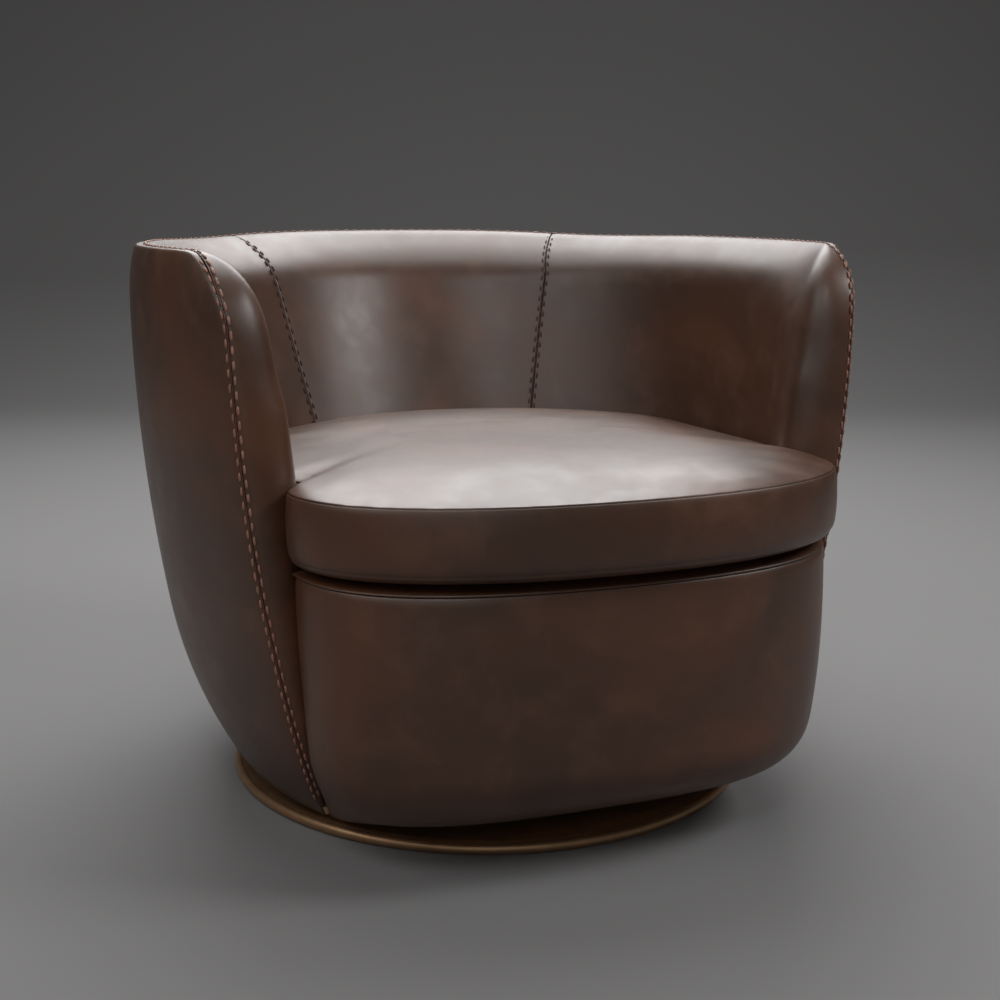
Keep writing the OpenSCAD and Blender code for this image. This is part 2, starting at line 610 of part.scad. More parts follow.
// Seat cushion. Rings of its plan run from the underside out and up the side and over the crown.
ear_y = arm_front + 10;
ear_columns = 20;
back_arc_columns = 20;
cushion_centre_y = -60;
function cushion_w(z) = well_half_w(z - seat_fall(0)) - cushion_gap;
function cushion_d(z) = well_half_d(z - seat_fall(well_r)) - cushion_gap;
function cushion_plan(z) = let (w = cushion_w(deck_h), d = cushion_d(z), from = acos(cushion_neck_w / w))
    concat([for (i = [0:ear_columns])
            power_arc(-90 + 180 * i / ear_columns, cushion_half_w, cushion_reach - ear_y, cushion_power) - [0, ear_y]],
        [[cushion_neck_w + 10, -arm_front - cushion_gap], [cushion_neck_w, -arm_front + cushion_gap]],
        [for (i = [0:back_arc_columns]) let (a = -from + (180 + 2 * from) * i / back_arc_columns)
            [w * cos(a), -well_shift + (sin(a) > 0 ? d : w) * sin(a)]],
        [[-cushion_neck_w, -arm_front + cushion_gap], [-cushion_neck_w - 10, -arm_front - cushion_gap]]);
function cushion_ring(share, inset, z, height) = [for (p = cushion_plan(z)) let (
        v = p - [0, cushion_centre_y], s = share * (1 - inset / norm(v)))
    [v[0] * s, cushion_centre_y + v[1] * s, height]];
side_rings = [[18, 0], [6, 0.06], [1, 0.19], [0, 0.48], [1.5, 0.78], [cushion_draw, 1]];
crown_shares = [0.96, 0.88, 0.74, 0.55, 0.3];
function crown_rise(share) = cushion_crown * pow(1 - pow(share, 3), 0.7);
function cushion_rings(off) = let (top = deck_h + cushion_side_h) concat(
    [cushion_ring(0.55, off, deck_h, deck_h + off)],
    [for (r = side_rings) let (z = deck_h + cushion_side_h * r[1])
        cushion_ring(1, r[0] + off, z, z + off * (1 - 2 * r[1]))],
    [for (s = crown_shares) cushion_ring(s, cushion_draw + off, top, top + crown_rise(s) - off)]);
module cushion_body(off) {
    seat_slope() ringed(cushion_rings(off), [0, cushion_centre_y, deck_h + off],
        [0, cushion_centre_y, deck_h + cushion_side_h + cushion_crown - off]);
}
module cushion_cover() {
    color(LEATHER) difference() {
        cushion_body(0);
        cushion_body(leather_t);
    }
}
module cushion_foam() { color(FOAM) cushion_body(leather_t); }
zip_z = deck_h + cushion_side_h * side_rings[3][1];
zip_t = 1;
zip_columns = 16;
// The tape lies just outside the cover's curve, by as much as its own flat facets cut into it.
zip_off = cushion_d(zip_z) * (1 - cos(zip_angle / zip_columns)) + lie;
function zip_grid(off) = [for (z = [zip_z - zip_w / 2, zip_z, zip_z + zip_w / 2])
    [for (i = [0:zip_columns]) let (a = 90 + zip_angle * (1 - 2 * i / zip_columns), w = cushion_w(deck_h) + off)
        [-w * cos(a), -well_shift + (cushion_d(z) + off) * sin(a), z]]];
module cushion_zip() {
    color(CLOTH) seat_slope() sheet(zip_grid(zip_off), zip_grid(zip_off + zip_t), function(i, j) true);
}
slider = [12, 1, 8];
slider_angle = 4;
module zip_slider() {
    a = 90 + zip_angle - slider_angle;
    w = cushion_w(deck_h);
    d = cushion_d(zip_z);
    facing = atan2(w * sin(a), d * cos(a));
    lean = atan(back_recline * sin(a) * sin(facing));
    color(STEEL) seat_slope() translate([w * cos(a), -well_shift + d * sin(a), zip_z])
        rotate([0, 0, facing - 90]) rotate([-lean, 0, 0])
            translate([-slider[0] / 2, zip_off + zip_t + lie, -slider[2] / 2]) cube(slider);
}

// Swivel: two pressed plates with races, a caged row of balls, and a pin through the middle
plinth_top = ring_h - base_plate_t;
race_h = (bottom_z - plinth_top - 2 * plate_t - race_gap) / 2;
ball_z = plinth_top + plate_t + race_h + race_gap / 2;
bush_wall = 4;
bush_r = pin_d / 2 + pin_gap + bush_wall;
bush_flange_t = 1.5;
washer_t = 2.5;
nut_h = 10;
groove_r = ball_d / 2 + ball_gap;
module race(z) {
    translate([0, 0, z]) difference() {
        cylinder(r = ball_circle_r + race_w / 2, h = race_h, $fn = SMOOTH);
        translate([0, 0, -1]) cylinder(r = ball_circle_r - race_w / 2, h = race_h + 2, $fn = SMOOTH);
    }
}
module ball_groove() {
    translate([0, 0, ball_z]) rotate_extrude($fn = SMOOTH) translate([ball_circle_r, 0]) circle(r = groove_r, $fn = 32);
}
module swivel_lower_plate() {
    color(STEEL) difference() {
        union() {
            translate([0, 0, plinth_top]) cylinder(r = plate_r, h = plate_t, $fn = SMOOTH);
            race(plinth_top + plate_t);
        }
        ball_groove();
        translate([0, 0, plinth_top - 1]) cylinder(d = pin_d + 2 * pin_gap, h = plate_t + 2, $fn = FINE);
        on_circle(fixing_r, fixing_count) translate([0, 0, plinth_top - 1])
            cylinder(d = fixing_d + 2 * pin_gap, h = plate_t + 2, $fn = FINE);
    }
}
module swivel_upper_plate() {
    top_plate_z = bottom_z - plate_t;
    color(STEEL) difference() {
        union() {
            translate([0, 0, top_plate_z]) cylinder(r = plate_r, h = plate_t, $fn = SMOOTH);
            race(top_plate_z - race_h);
        }
        ball_groove();
        translate([0, 0, top_plate_z - 1]) cylinder(r = bush_r, h = plate_t + 2, $fn = FINE);
        on_circle(fixing_r, fixing_count) translate([0, 0, top_plate_z - 1])
            cylinder(d = fixing_d + 2 * pin_gap, h = plate_t + 2, $fn = FINE);
    }
}
module swivel_bush() {
    color("ivory") translate([0, 0, bottom_z - plate_t]) difference() {
        union() {
            cylinder(r = bush_r, h = plate_t, $fn = FINE);
            translate([0, 0, plate_t]) cylinder(r = bush_r + bush_wall, h = bush_flange_t, $fn = FINE);
        }
        translate([0, 0, -1]) cylinder(r = pin_d / 2 + pin_gap, h = plate_t + bush_flange_t + 2, $fn = FINE);
    }
}
washer_z = bottom_z + bush_flange_t + lie;
pin_head_t = 3;
module swivel_pin() {
    color(STEEL) union() {
        translate([0, 0, plinth_top - pin_head_t]) cylinder(d = 2 * pin_d, h = pin_head_t, $fn = FINE);
        translate([0, 0, plinth_top]) cylinder(d = pin_d, h = washer_z + washer_t + nut_h + 2 - plinth_top, $fn = FINE);
    }
}
module pin_washer() {
    color(STEEL) translate([0, 0, washer_z]) difference() {
        cylinder(r = bush_r + bush_wall, h = washer_t, $fn = FINE);
        translate([0, 0, -1]) cylinder(d = pin_d + 2 * pin_gap, h = washer_t + 2, $fn = FINE);
    }
}
module pin_nut() {
    color(STEEL) translate([0, 0, washer_z + washer_t]) difference() {
        cylinder(r = 0.9 * pin_d, h = nut_h, $fn = 6);
        translate([0, 0, -1]) cylinder(d = pin_d + 2 * pin_gap, h = nut_h + 2, $fn = FINE);
    }
}
screw_head_d = 1.9 * fixing_d;
screw_head_h = 0.5 * fixing_d;
module lower_plate_screws() {
    screw_depth = plinth_top - floor_pad_t - 2;
    color(STEEL) on_circle(fixing_r, fixing_count) {
        translate([0, 0, plinth_top + plate_t]) cylinder(d = screw_head_d, h = screw_head_h, $fn = FINE);
        translate([0, 0, plinth_top - screw_depth]) cylinder(d = fixing_d, h = screw_depth + plate_t, $fn = FINE);
    }
}
module upper_plate_bolts() {
    bolt_z = bottom_z - plate_t;
    color(STEEL) on_circle(fixing_r, fixing_count) {
        translate([0, 0, bolt_z - screw_head_h]) cylinder(d = screw_head_d, h = screw_head_h, $fn = FINE);
        translate([0, 0, bolt_z]) cylinder(d = fixing_d, h = plate_t + 0.8 * bottom_t, $fn = FINE);
    }
}
tee_flange_t = 1.5;
module tee_nuts() {
    barrel_z = bottom_z + bottom_t / 2;
    color(STEEL) on_circle(fixing_r, fixing_count) difference() {
        union() {
            translate([0, 0, barrel_z]) cylinder(d = tee_barrel_d, h = bottom_t / 2, $fn = FINE);
            translate([0, 0, bottom_z + bottom_t]) cylinder(d = 3 * fixing_d, h = tee_flange_t, $fn = FINE);
        }
        translate([0, 0, barrel_z - 1]) cylinder(d = fixing_d + 2 * pin_gap, h = bottom_t, $fn = FINE);
    }
}
module ball_cage() {
    color("goldenrod") translate([0, 0, ball_z - cage_t / 2]) difference() {
        cylinder(r = ball_circle_r + race_w / 2 - 2, h = cage_t, $fn = SMOOTH);
        translate([0, 0, -1]) cylinder(r = ball_circle_r - race_w / 2 + 2, h = cage_t + 2, $fn = SMOOTH);
        on_circle(ball_circle_r, ball_count) translate([0, 0, -1])
            cylinder(r = groove_r, h = cage_t + 2, $fn = FINE);
    }
}
module bearing_balls() {
    color(STEEL) on_circle(ball_circle_r, ball_count) translate([0, 0, ball_z]) sphere(d = ball_d, $fn = 32);
}

// Base: plinth board with its pad, bronze ring round it and bronze plate over it
ring_in_r = ring_r - 2 * bead_r;
module base_ring() {
    color(BRONZE) rotate_extrude($fn = 2 * SMOOTH) difference() {
        union() {
            translate([ring_in_r, ring_lift]) square([bead_r, ring_h - bead_r - ring_lift]);
            translate([ring_r - bead_r, ring_h - bead_r]) circle(r = bead_r, $fn = 64);
            translate([ring_in_r - ring_step_w, plinth_top]) square([ring_step_w + bead_r / 2, base_plate_t]);
        }
        translate([ring_in_r - groove_w / 2, ring_h - groove_d]) square([groove_w, groove_d + 1]);
    }
}
module plinth_board() {
    color(PLYWOOD) difference() {
        translate([0, 0, floor_pad_t]) cylinder(r = ring_in_r - lie, h = plinth_top - floor_pad_t, $fn = SMOOTH);
        translate([0, 0, plinth_top - pin_head_t - lie]) cylinder(d = 2 * pin_d + 1, h = plinth_top, $fn = FINE);
        on_circle(fixing_r, fixing_count) translate([0, 0, floor_pad_t + 1])
            cylinder(d = fixing_d + 2 * pin_gap, h = plinth_top, $fn = FINE);
    }
}
module base_plate() {
    color(BRONZE) translate([0, 0, plinth_top]) difference() {
        cylinder(r = ring_in_r - ring_step_w - lie, h = base_plate_t, $fn = SMOOTH);
        translate([0, 0, -1]) cylinder(r = plate_r + lie, h = base_plate_t + 2, $fn = SMOOTH);
    }
}
module floor_pad() { color(CLOTH) cylinder(r = ring_in_r - lie - 4, h = floor_pad_t, $fn = SMOOTH); }

base_ring();
base_plate();
plinth_board();
floor_pad();
swivel_lower_plate();
swivel_pin();
pin_washer();
pin_nut();
lower_plate_screws();
ball_cage();
bearing_balls();
swivel_upper_plate();
swivel_bush();
upper_plate_bolts();
tee_nuts();
bottom_board();
bottom_hoop();
dust_cover();
posts();
seat_frame();
front_rail();
webbing_long();
webbing_cross();
deck_felt();
deck_foam();
deck_cloth();
deck_lip_leather();
plywood_shell();
arm_back_foam();
outer_leather();
inner_leather_left();
inner_leather_back();
inner_leather_right();
front_board();
front_foam();
front_leather();
cushion_foam();
cushion_cover();
cushion_zip();
zip_slider();
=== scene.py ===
"""Leather swivel chair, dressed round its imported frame.

Lengths are in metres and angles in degrees. +Z is up, the front is -Y, and the origin is on the
floor on the swivel axis. The tub's surfaces follow the same outline as the frame's solids.
"""

import json
import logging
import math
from collections.abc import Callable, Iterable, Sequence
from dataclasses import dataclass, field, replace
from enum import Enum

import bpy
import numpy as np
from mathutils import Matrix, Vector

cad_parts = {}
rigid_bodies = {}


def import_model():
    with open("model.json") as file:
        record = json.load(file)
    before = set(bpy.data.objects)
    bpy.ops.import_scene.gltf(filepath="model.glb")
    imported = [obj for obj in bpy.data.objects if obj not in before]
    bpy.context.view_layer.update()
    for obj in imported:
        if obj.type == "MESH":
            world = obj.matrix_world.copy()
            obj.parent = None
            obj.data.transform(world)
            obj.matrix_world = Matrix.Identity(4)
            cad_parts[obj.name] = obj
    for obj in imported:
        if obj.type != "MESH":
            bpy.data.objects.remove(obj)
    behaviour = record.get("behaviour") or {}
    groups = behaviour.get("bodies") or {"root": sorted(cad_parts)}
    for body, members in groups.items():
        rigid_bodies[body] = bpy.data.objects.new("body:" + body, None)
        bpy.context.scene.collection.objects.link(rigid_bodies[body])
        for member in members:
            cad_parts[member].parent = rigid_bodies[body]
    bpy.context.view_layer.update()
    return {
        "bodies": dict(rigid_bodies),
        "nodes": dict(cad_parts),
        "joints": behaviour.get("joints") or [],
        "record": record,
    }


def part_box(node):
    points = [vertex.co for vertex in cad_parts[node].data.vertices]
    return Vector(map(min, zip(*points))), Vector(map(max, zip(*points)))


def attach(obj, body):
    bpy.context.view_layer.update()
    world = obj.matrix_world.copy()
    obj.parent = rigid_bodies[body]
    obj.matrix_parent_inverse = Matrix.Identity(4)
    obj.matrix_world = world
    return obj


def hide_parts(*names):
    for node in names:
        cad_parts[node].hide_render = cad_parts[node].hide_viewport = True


LOG = logging.getLogger("swivel_chair")
MM = 0.001
# Distance at which two heights count as one.
NEAR = 0.01 * MM
# Factors that turn the chair's right half into its left one.
MIRROR = np.array([-1.0, 1.0, 1.0])


# Small maths


def unit(vectors: np.ndarray) -> np.ndarray:
    """Scale each vector of an array to length 1.

    Args:
        vectors: Array whose last axis holds x, y and z.

    Returns:
        Array of the same shape.
    """
    return vectors / np.maximum(np.linalg.norm(vectors, axis=-1, keepdims=True), 1e-12)


def ease(share: np.ndarray) -> np.ndarray:
    """Blend smoothly from 0 to 1.

    Args:
        share: Values, cut to the range 0 to 1.

    Returns:
        Half a cosine wave from 0 to 1.
    """
    return (1 - np.cos(np.pi * np.clip(share, 0, 1))) / 2


def joined(first: np.ndarray, second: np.ndarray) -> np.ndarray:
    """Join two halves along their columns, the second one turned round, with the middle column once."""
    return np.concatenate([first, second[:, -2::-1]], axis=1)


def run_length(points: np.ndarray, axis: int = 0) -> np.ndarray:
    """Measure the length along rows of points.

    Args:
        points: Array whose last axis holds x, y and z.
        axis: Axis along which the points follow each other.

    Returns:
        Distance from the first point, with the last axis dropped.
    """
    points = np.moveaxis(points, axis, 0)
    steps = np.linalg.norm(np.diff(points, axis=0), axis=-1)
    length = np.concatenate([np.zeros((1, *steps.shape[1:])), np.cumsum(steps, axis=0)])
    return np.moveaxis(length, 0, axis)


def graded(length: float, step: float, fine_start: bool = False, fine_end: bool = False) -> np.ndarray:
    """Space cuts along a length, close together where it ends in a seam.

    Args:
        length: Whole length.
        step: Widest distance between cuts.
        fine_start: True where the length starts at a seam.
        fine_end: True where the length ends at a seam.

    Returns:
        Distances of the cuts from the start.
    """
    fine = np.array([0.0, 0.8, 1.6, 2.6, 4.0, 5.8, 8.2, 11.5]) * MM
    start = fine if fine_start else fine[:1]
    end = length - (fine if fine_end else fine[:1])[::-1]
    count = max(2, int(round((end[0] - start[-1]) / step)) + 1)
    return np.concatenate([start[:-1], np.linspace(start[-1], end[0], count), end[1:]])


# Modelling helpers


def deselect_all() -> None:
    """Leave nothing selected and nothing in edit mode."""
    if bpy.context.object and bpy.context.object.mode != "OBJECT":
        bpy.ops.object.mode_set(mode="OBJECT")
    bpy.ops.object.select_all(action="DESELECT")


def take(obj: bpy.types.Object) -> None:
    """Select one object alone and make it active."""
    deselect_all()
    obj.select_set(True)
    bpy.context.view_layer.objects.active = obj


def named(name: str) -> bpy.types.Object:
    """Name the object that an operator has just added, and return it."""
    obj = bpy.context.object
    obj.name = name
    obj.data.name = name
    return obj


def apply_modifier(obj: bpy.types.Object, kind: str, **settings: object) -> None:
    """Put a modifier on an object and apply it.

    Args:
        obj: Object to change.
        kind: Blender's name of the modifier type.
        settings: Values of the modifier's fields.
    """
    modifier = obj.modifiers.new(kind.title(), kind)
    for key, value in settings.items():
        setattr(modifier, key, value)
    take(obj)
    bpy.ops.object.modifier_apply(modifier=modifier.name)


def get_points(obj: bpy.types.Object) -> np.ndarray:
    """Read an object's vertices as an array of points."""
    flat = np.empty(3 * len(obj.data.vertices))
    obj.data.vertices.foreach_get("co", flat)
    return flat.reshape(-1, 3)


def set_points(obj: bpy.types.Object, points: np.ndarray) -> None:
    """Write an array of points to an object's vertices."""
    obj.data.vertices.foreach_set("co", np.ascontiguousarray(points, dtype=float).ravel())
    obj.data.update()


def set_attribute(obj: bpy.types.Object, name: str, values: np.ndarray) -> None:
    """Store one number per vertex under a name that materials can read."""
    attribute = obj.data.attributes.get(name) or obj.data.attributes.new(name, "FLOAT", "POINT")
    attribute.data.foreach_set("value", np.ascontiguousarray(values, dtype=float).ravel())


def add_sheet(name: str, surface: np.ndarray, seam: np.ndarray | None = None,
              keep: np.ndarray | None = None) -> bpy.types.Object:
    """Add a grid and bend it to a surface.

    Args:
        name: Name of the new object.
        surface: Points in rows and columns. Seen from outside, rows go up and columns to the right.
        seam: Distance of each point from the nearest seam.
        keep: Which cells stay, in rows and columns of cells.

    Returns:
        The new object.
    """
    rows, columns = surface.shape[:2]
    deselect_all()
    bpy.ops.mesh.primitive_grid_add(x_subdivisions=columns - 1, y_subdivisions=rows - 1, size=2)
    obj = named(name)
    flat = get_points(obj)
    i = np.rint((flat[:, 0] + 1) / 2 * (columns - 1)).astype(int)
    j = np.rint((flat[:, 1] + 1) / 2 * (rows - 1)).astype(int)
    set_points(obj, surface[j, i])
    if seam is not None:
        set_attribute(obj, "seam", seam[j, i])
    if keep is not None:
        centres = np.array([flat[list(p.vertices)].mean(axis=0) for p in obj.data.polygons])
        ci = np.floor((centres[:, 0] + 1) / 2 * (columns - 1)).astype(int)
        cj = np.floor((centres[:, 1] + 1) / 2 * (rows - 1)).astype(int)
        delete_faces(obj, ~keep[cj, ci])
    return obj


def delete_faces(obj: bpy.types.Object, chosen: np.ndarray) -> None:
    """Delete the chosen faces of an object, with what hangs on them alone."""
    take(obj)
    bpy.ops.object.mode_set(mode="EDIT")
    bpy.ops.mesh.select_mode(type="FACE")
    bpy.ops.mesh.select_all(action="DESELECT")
    bpy.ops.object.mode_set(mode="OBJECT")
    obj.data.polygons.foreach_set("select", chosen)
    bpy.ops.object.mode_set(mode="EDIT")
    bpy.ops.mesh.delete(type="FACE")
    bpy.ops.object.mode_set(mode="OBJECT")


def fill_opening(obj: bpy.types.Object, inside: Callable[[Vector], bool], span: int) -> None:
    """Close one round opening of a mesh with a grid of faces.

    Args:
        obj: Mesh with the opening.
        inside: Says whether a vertex belongs to the opening.
        span: Number of faces across the grid.
    """
    take(obj)
    bpy.ops.object.mode_set(mode="EDIT")
    bpy.ops.mesh.select_mode(type="EDGE")
    bpy.ops.mesh.select_all(action="DESELECT")
    bpy.ops.mesh.select_non_manifold(extend=False, use_wire=False, use_boundary=True,
                                     use_multi_face=False, use_non_contiguous=False, use_verts=False)
    bpy.ops.object.mode_set(mode="OBJECT")
    vertices = obj.data.vertices
    for edge in obj.data.edges:
        edge.select = edge.select and all(inside(vertices[v].co) for v in edge.vertices)
    for vertex in vertices:
        vertex.select = vertex.select and inside(vertex.co)
    bpy.ops.object.mode_set(mode="EDIT")
    bpy.ops.mesh.fill_grid(span=span)
    bpy.ops.object.mode_set(mode="OBJECT")


def face_outwards(obj: bpy.types.Object) -> None:
    """Turn all faces of a closed shape outwards."""
    take(obj)
    bpy.ops.object.mode_set(mode="EDIT")
    bpy.ops.mesh.select_all(action="SELECT")
    bpy.ops.mesh.normals_make_consistent(inside=False)
    bpy.ops.object.mode_set(mode="OBJECT")


def shade(obj: bpy.types.Object, sharp_angle: float = 60) -> None:
    """Shade an object smooth, with edges sharper than an angle left hard."""
    take(obj)
    bpy.ops.object.shade_smooth_by_angle(angle=math.radians(sharp_angle))


# The two hands, the two sides of a seam, and the tub's outline


class Hand(Enum):
    """The two arms. The value is the sign of the arm's X."""

    LEFT = -1.0
    RIGHT = 1.0

    @property
    def word(self) -> str:
        """The hand as it stands in the names of pieces."""
        return self.name.lower()

    @property
    def flip(self) -> np.ndarray:
        """Factors that turn the right arm into this one."""
        return np.array([self.value, 1.0, 1.0])


class Side(Enum):
    """The two sides of a sewn line: on the outer seam, first the wall's and then the seat's."""

    FIRST = 1
    SECOND = -1

    @property
    def fall(self) -> float:
        """Width over which the rim's rolled-in edge fades on this side."""
        return 0.030 if self is Side.FIRST else 0.060


@dataclass(frozen=True)
class TubShape:
    """Outline of the tub: an elliptical barrel with a round seat well sunk into it.

    A sweep is the radius of an arc, and a name in z or y gives a height or a place along Y.
    """

    height: float = 0.674
    # The outer wall: an arc at the foot, one up the side and one at the rim, on an elliptical plan.
    half_width: float = 0.436
    reach: float = 0.493
    wide_z: float = 0.604
    body_z: float = 0.025
    side_sweep: float = 2.170
    foot_sweep: float = 0.530
    foot_z: float = 0.231
    rim_sweep: float = 0.290
    # The rim's line, from the arms to the middle of the back.
    rim_dip: float = 0.002
    rim_dip_y: float = 0.320
    rim_dip_span: float = 0.150
    back_rise: float = 0.004
    # The roll under the rim and round the arms' fronts, with its fuller front corner.
    rim_roll: float = 0.062
    corner_roll: float = 0.084
    corner_length: float = 0.22
    arm_roll: float = 0.051
    corner_sweep: float = 0.086
    dome_fill: float = 0.26
    foot_roll_share: float = 0.20
    foot_roll_rise: float = 0.3
    # The front edge of the arms.
    arm_front: float = 0.2545
    arm_front_sweep: float = 2.400
    arm_front_z: float = 0.450
    arm_foot_sweep: float = 0.400
    arm_foot_z: float = 0.240
    # The seat well, and the inner seams that part its back from the arms.
    well_radius: float = 0.340
    well_z: float = 0.406
    well_shift: float = 0.050
    well_floor: float = 0.300
    back_recline: float = 0.41
    arm_flare: float = 0.09
    seam_angle: float = 30.6
    seam_spread: float = 6.2
    least_arm: float = 0.012
    # Rounds in which heights and places along Y are fitted to each other.
    fitting_rounds: int = 3

    @property
    def stretch(self) -> float:
        """Length of the plan over its width."""
        return self.reach / self.half_width

    def wall_radius(self, z: np.ndarray) -> np.ndarray:
        """Half of the tub's width at a height."""
        turn = math.asin((self.wide_z - self.foot_z) / self.side_sweep)
        inner = self.side_sweep - self.foot_sweep
        foot_x = self.half_width - self.side_sweep + inner * math.cos(turn)
        foot_y = self.wide_z - inner * math.sin(turn)
        rim = self.half_width - self.rim_sweep + np.sqrt(
            np.maximum(self.rim_sweep**2 - (z - self.wide_z) ** 2, 0))
        side = self.half_width - self.side_sweep + np.sqrt(self.side_sweep**2 - (self.wide_z - z) ** 2)
        foot = foot_x + np.sqrt(np.maximum(self.foot_sweep**2 - (foot_y - z) ** 2, 0))
        return np.where(z > self.wide_z, rim,
                        np.where(z > foot_y - self.foot_sweep * math.sin(turn), side, foot))

    def wall_x(self, y: np.ndarray, z: np.ndarray) -> np.ndarray:
        """Distance of the outer wall from the middle plane."""
        radius = self.wall_radius(z)
        return radius * np.sqrt(np.maximum(0, 1 - (y / (radius * self.stretch)) ** 2))

    def wall_normal(self, points: np.ndarray) -> np.ndarray:
        """Outward direction of the outer wall at points on it."""
        z = points[..., 2]
        slope = (self.wall_radius(z + MM) - self.wall_radius(z - MM)) / (2 * MM)
        return unit(np.stack([points[..., 0], points[..., 1] / self.stretch**2,
                              -self.wall_radius(z) * slope], axis=-1))

    def arm_front_y(self, z: np.ndarray) -> np.ndarray:
        """Place of the arms' front edge at a height."""
        above = np.maximum(0, z - self.arm_front_z)
        below = np.maximum(0, self.arm_foot_z - z)
        return (-self.arm_front + self.arm_front_sweep - np.sqrt(self.arm_front_sweep**2 - above**2)
                + self.arm_foot_sweep - np.sqrt(self.arm_foot_sweep**2 - below**2))

    def rim_drop(self, y: np.ndarray) -> np.ndarray:
        """How far the rim lies under the middle of the back."""
        past = (y - self.rim_dip_y) / (self.reach - self.rim_dip_y)
        return (self.back_rise * (1 - ease(past))
                + self.rim_dip * ease(1 - np.abs(y - self.rim_dip_y) / self.rim_dip_span))

    def well_half_width(self, z: np.ndarray) -> np.ndarray:
        """Half of the seat well's width at a height."""
        return self.well_radius + self.arm_flare * (z - self.well_z)

    def well_half_depth(self, z: np.ndarray) -> np.ndarray:
        """Depth of the seat well behind its centre at a height."""
        return self.well_radius + self.back_recline * (z - self.well_z)

    def roll_height(self, y: np.ndarray) -> np.ndarray:
        """Height of the roll under the rim, more at the arms' front corners."""
        near_front = ease((-self.arm_front + self.corner_length - y) / self.corner_length)
        return self.rim_roll + (self.corner_roll - self.rim_roll) * near_front

    def level(self, t: np.ndarray, y: np.ndarray, fullness: np.ndarray | float = 1.0) -> np.ndarray:
        """Height of a row t: 0 to 1 under the seat, 1 to 2 up the well, 2 to 3 over the roll."""
        start = self.height - self.roll_height(y) - self.rim_drop(y)
        low = self.body_z + (self.well_floor - self.body_z) * t
        mid = self.well_floor + (start - self.well_floor) * (t - 1)
        top = start + self.roll_height(y) * np.cos(self.roll(t)) * fullness
        return np.where(t <= 1, low, np.where(t <= 2, mid, top))

    def fullness(self, s: np.ndarray, t: np.ndarray) -> np.ndarray:
        """How much fuller than a plain round the arm's front corner is, from 1."""
        roll, spread = self.roll(t), np.pi / 2 * np.minimum(1, s)
        return 1 + self.dome_fill * np.sin(2 * roll) ** 2 * np.sin(roll) * np.sin(2 * spread) ** 2

    @staticmethod
    def roll(t: np.ndarray) -> np.ndarray:
        """Angle of a row round the roll, in radians: a quarter turn below it and 0 at the rim."""
        return np.pi / 2 * np.clip(3 - t, 0, 1)

    def front_y(self, t: np.ndarray, z: np.ndarray, spread: np.ndarray, fullness: np.ndarray | float = 1.0
                ) -> np.ndarray:
        """Place along Y of the arm's front face.

        Args:
            t: Row.
            z: Height.
            spread: Angle round the arm's front, from the seam (0) to its inner side, in radians.
            fullness: How much fuller than a plain round the corner is.

        Returns:
            Place along Y.
        """
        foot = self.foot_roll_share + (1 - self.foot_roll_share) * ease(t / self.foot_roll_rise)
        depth = self.arm_roll * foot
        upright = np.sin(self.roll(t))
        seam = self.corner_sweep * (1 - upright)
        return self.arm_front_y(z) + seam + depth * upright * (1 - np.cos(spread) * fullness)

    def wall_y(self, s: np.ndarray, t: np.ndarray, z: np.ndarray) -> np.ndarray:
        """Place along Y of the outer wall behind a point of the inner face.

        Args:
            s: Column: 0 to 1 round the arm's front, 1 to 2 along the arm, 2 to 3 along the back.
            t: Row.
            z: Height.

        Returns:
            Place along Y.
        """
        start = self.front_y(t, z, np.pi / 2 * np.minimum(1, s), self.fullness(s, t))
        back = self.wall_radius(z) * self.stretch
        first = np.arccos(np.clip(start / back, -1, 1))
        rise = (z - self.well_z) / (self.height - self.rim_roll - self.well_z)
        seam = np.radians(self.seam_angle + self.seam_spread * np.clip(rise, 0, 1))
        arm = back * np.cos(first + (seam - first) * (s - 1))
        rear = back * np.cos(seam * (3 - s))
        return np.where(s <= 1, start, np.where(s <= 2, arm, rear))

    def inner_points(self, s: np.ndarray, t: np.ndarray) -> np.ndarray:
        """Points on the inner face of the right half, over the roll to the rim.

        Args:
            s: Columns, from the arm's front seam (0) to the middle of the back (3).
            t: Rows, from the foot (0) to the rim (3).

        Returns:
            Array of points.
        """
        s, t = np.broadcast_arrays(np.asarray(s, float), np.asarray(t, float))
        fullness = self.fullness(s, t)
        blend = np.sin(self.roll(t)) * np.sin(np.pi / 2 * np.minimum(1, s)) * fullness
        inner_y = np.full(s.shape, -self.arm_front)
        for _ in range(self.fitting_rounds):
            z = self.level(t, inner_y, fullness)
            y = self.wall_y(s, t, z)
            back = self.wall_radius(z) * self.stretch
            well_y = np.where(y > 0, y * (self.well_half_depth(z) - self.well_shift) / back, y)
            inner_y = y + blend * (well_y - y)
        outer_x = self.wall_x(y, z)
        past = well_y + self.well_shift
        depth = np.where(past < 0, self.well_half_width(z), self.well_half_depth(z))
        well_x = self.well_half_width(z) * np.sqrt(np.maximum(0, 1 - (past / depth) ** 2))
        well_x = np.minimum(well_x, outer_x - np.where(s < 1, self.least_arm, 0))
        return np.stack([outer_x + blend * (well_x - outer_x), inner_y, z], axis=-1)

    def outer_points(self, w: np.ndarray, t: np.ndarray) -> np.ndarray:
        """Points on the outer wall at rows t, from the arm seam (w = 0) to the middle of the back (w = 1)."""
        w, t = np.broadcast_arrays(np.asarray(w, float), np.asarray(t, float))
        y = np.full(w.shape, -self.arm_front)
        for _ in range(self.fitting_rounds):
            z = self.level(t, y)
            back = self.wall_radius(z) * self.stretch
            first = np.arccos(np.clip(self.front_y(t, z, 0 * t) / back, -1, 1))
            y = back * np.cos(first * (1 - w))
        return np.stack([self.wall_radius(z) * np.sin(first * (1 - w)), y, z], axis=-1)

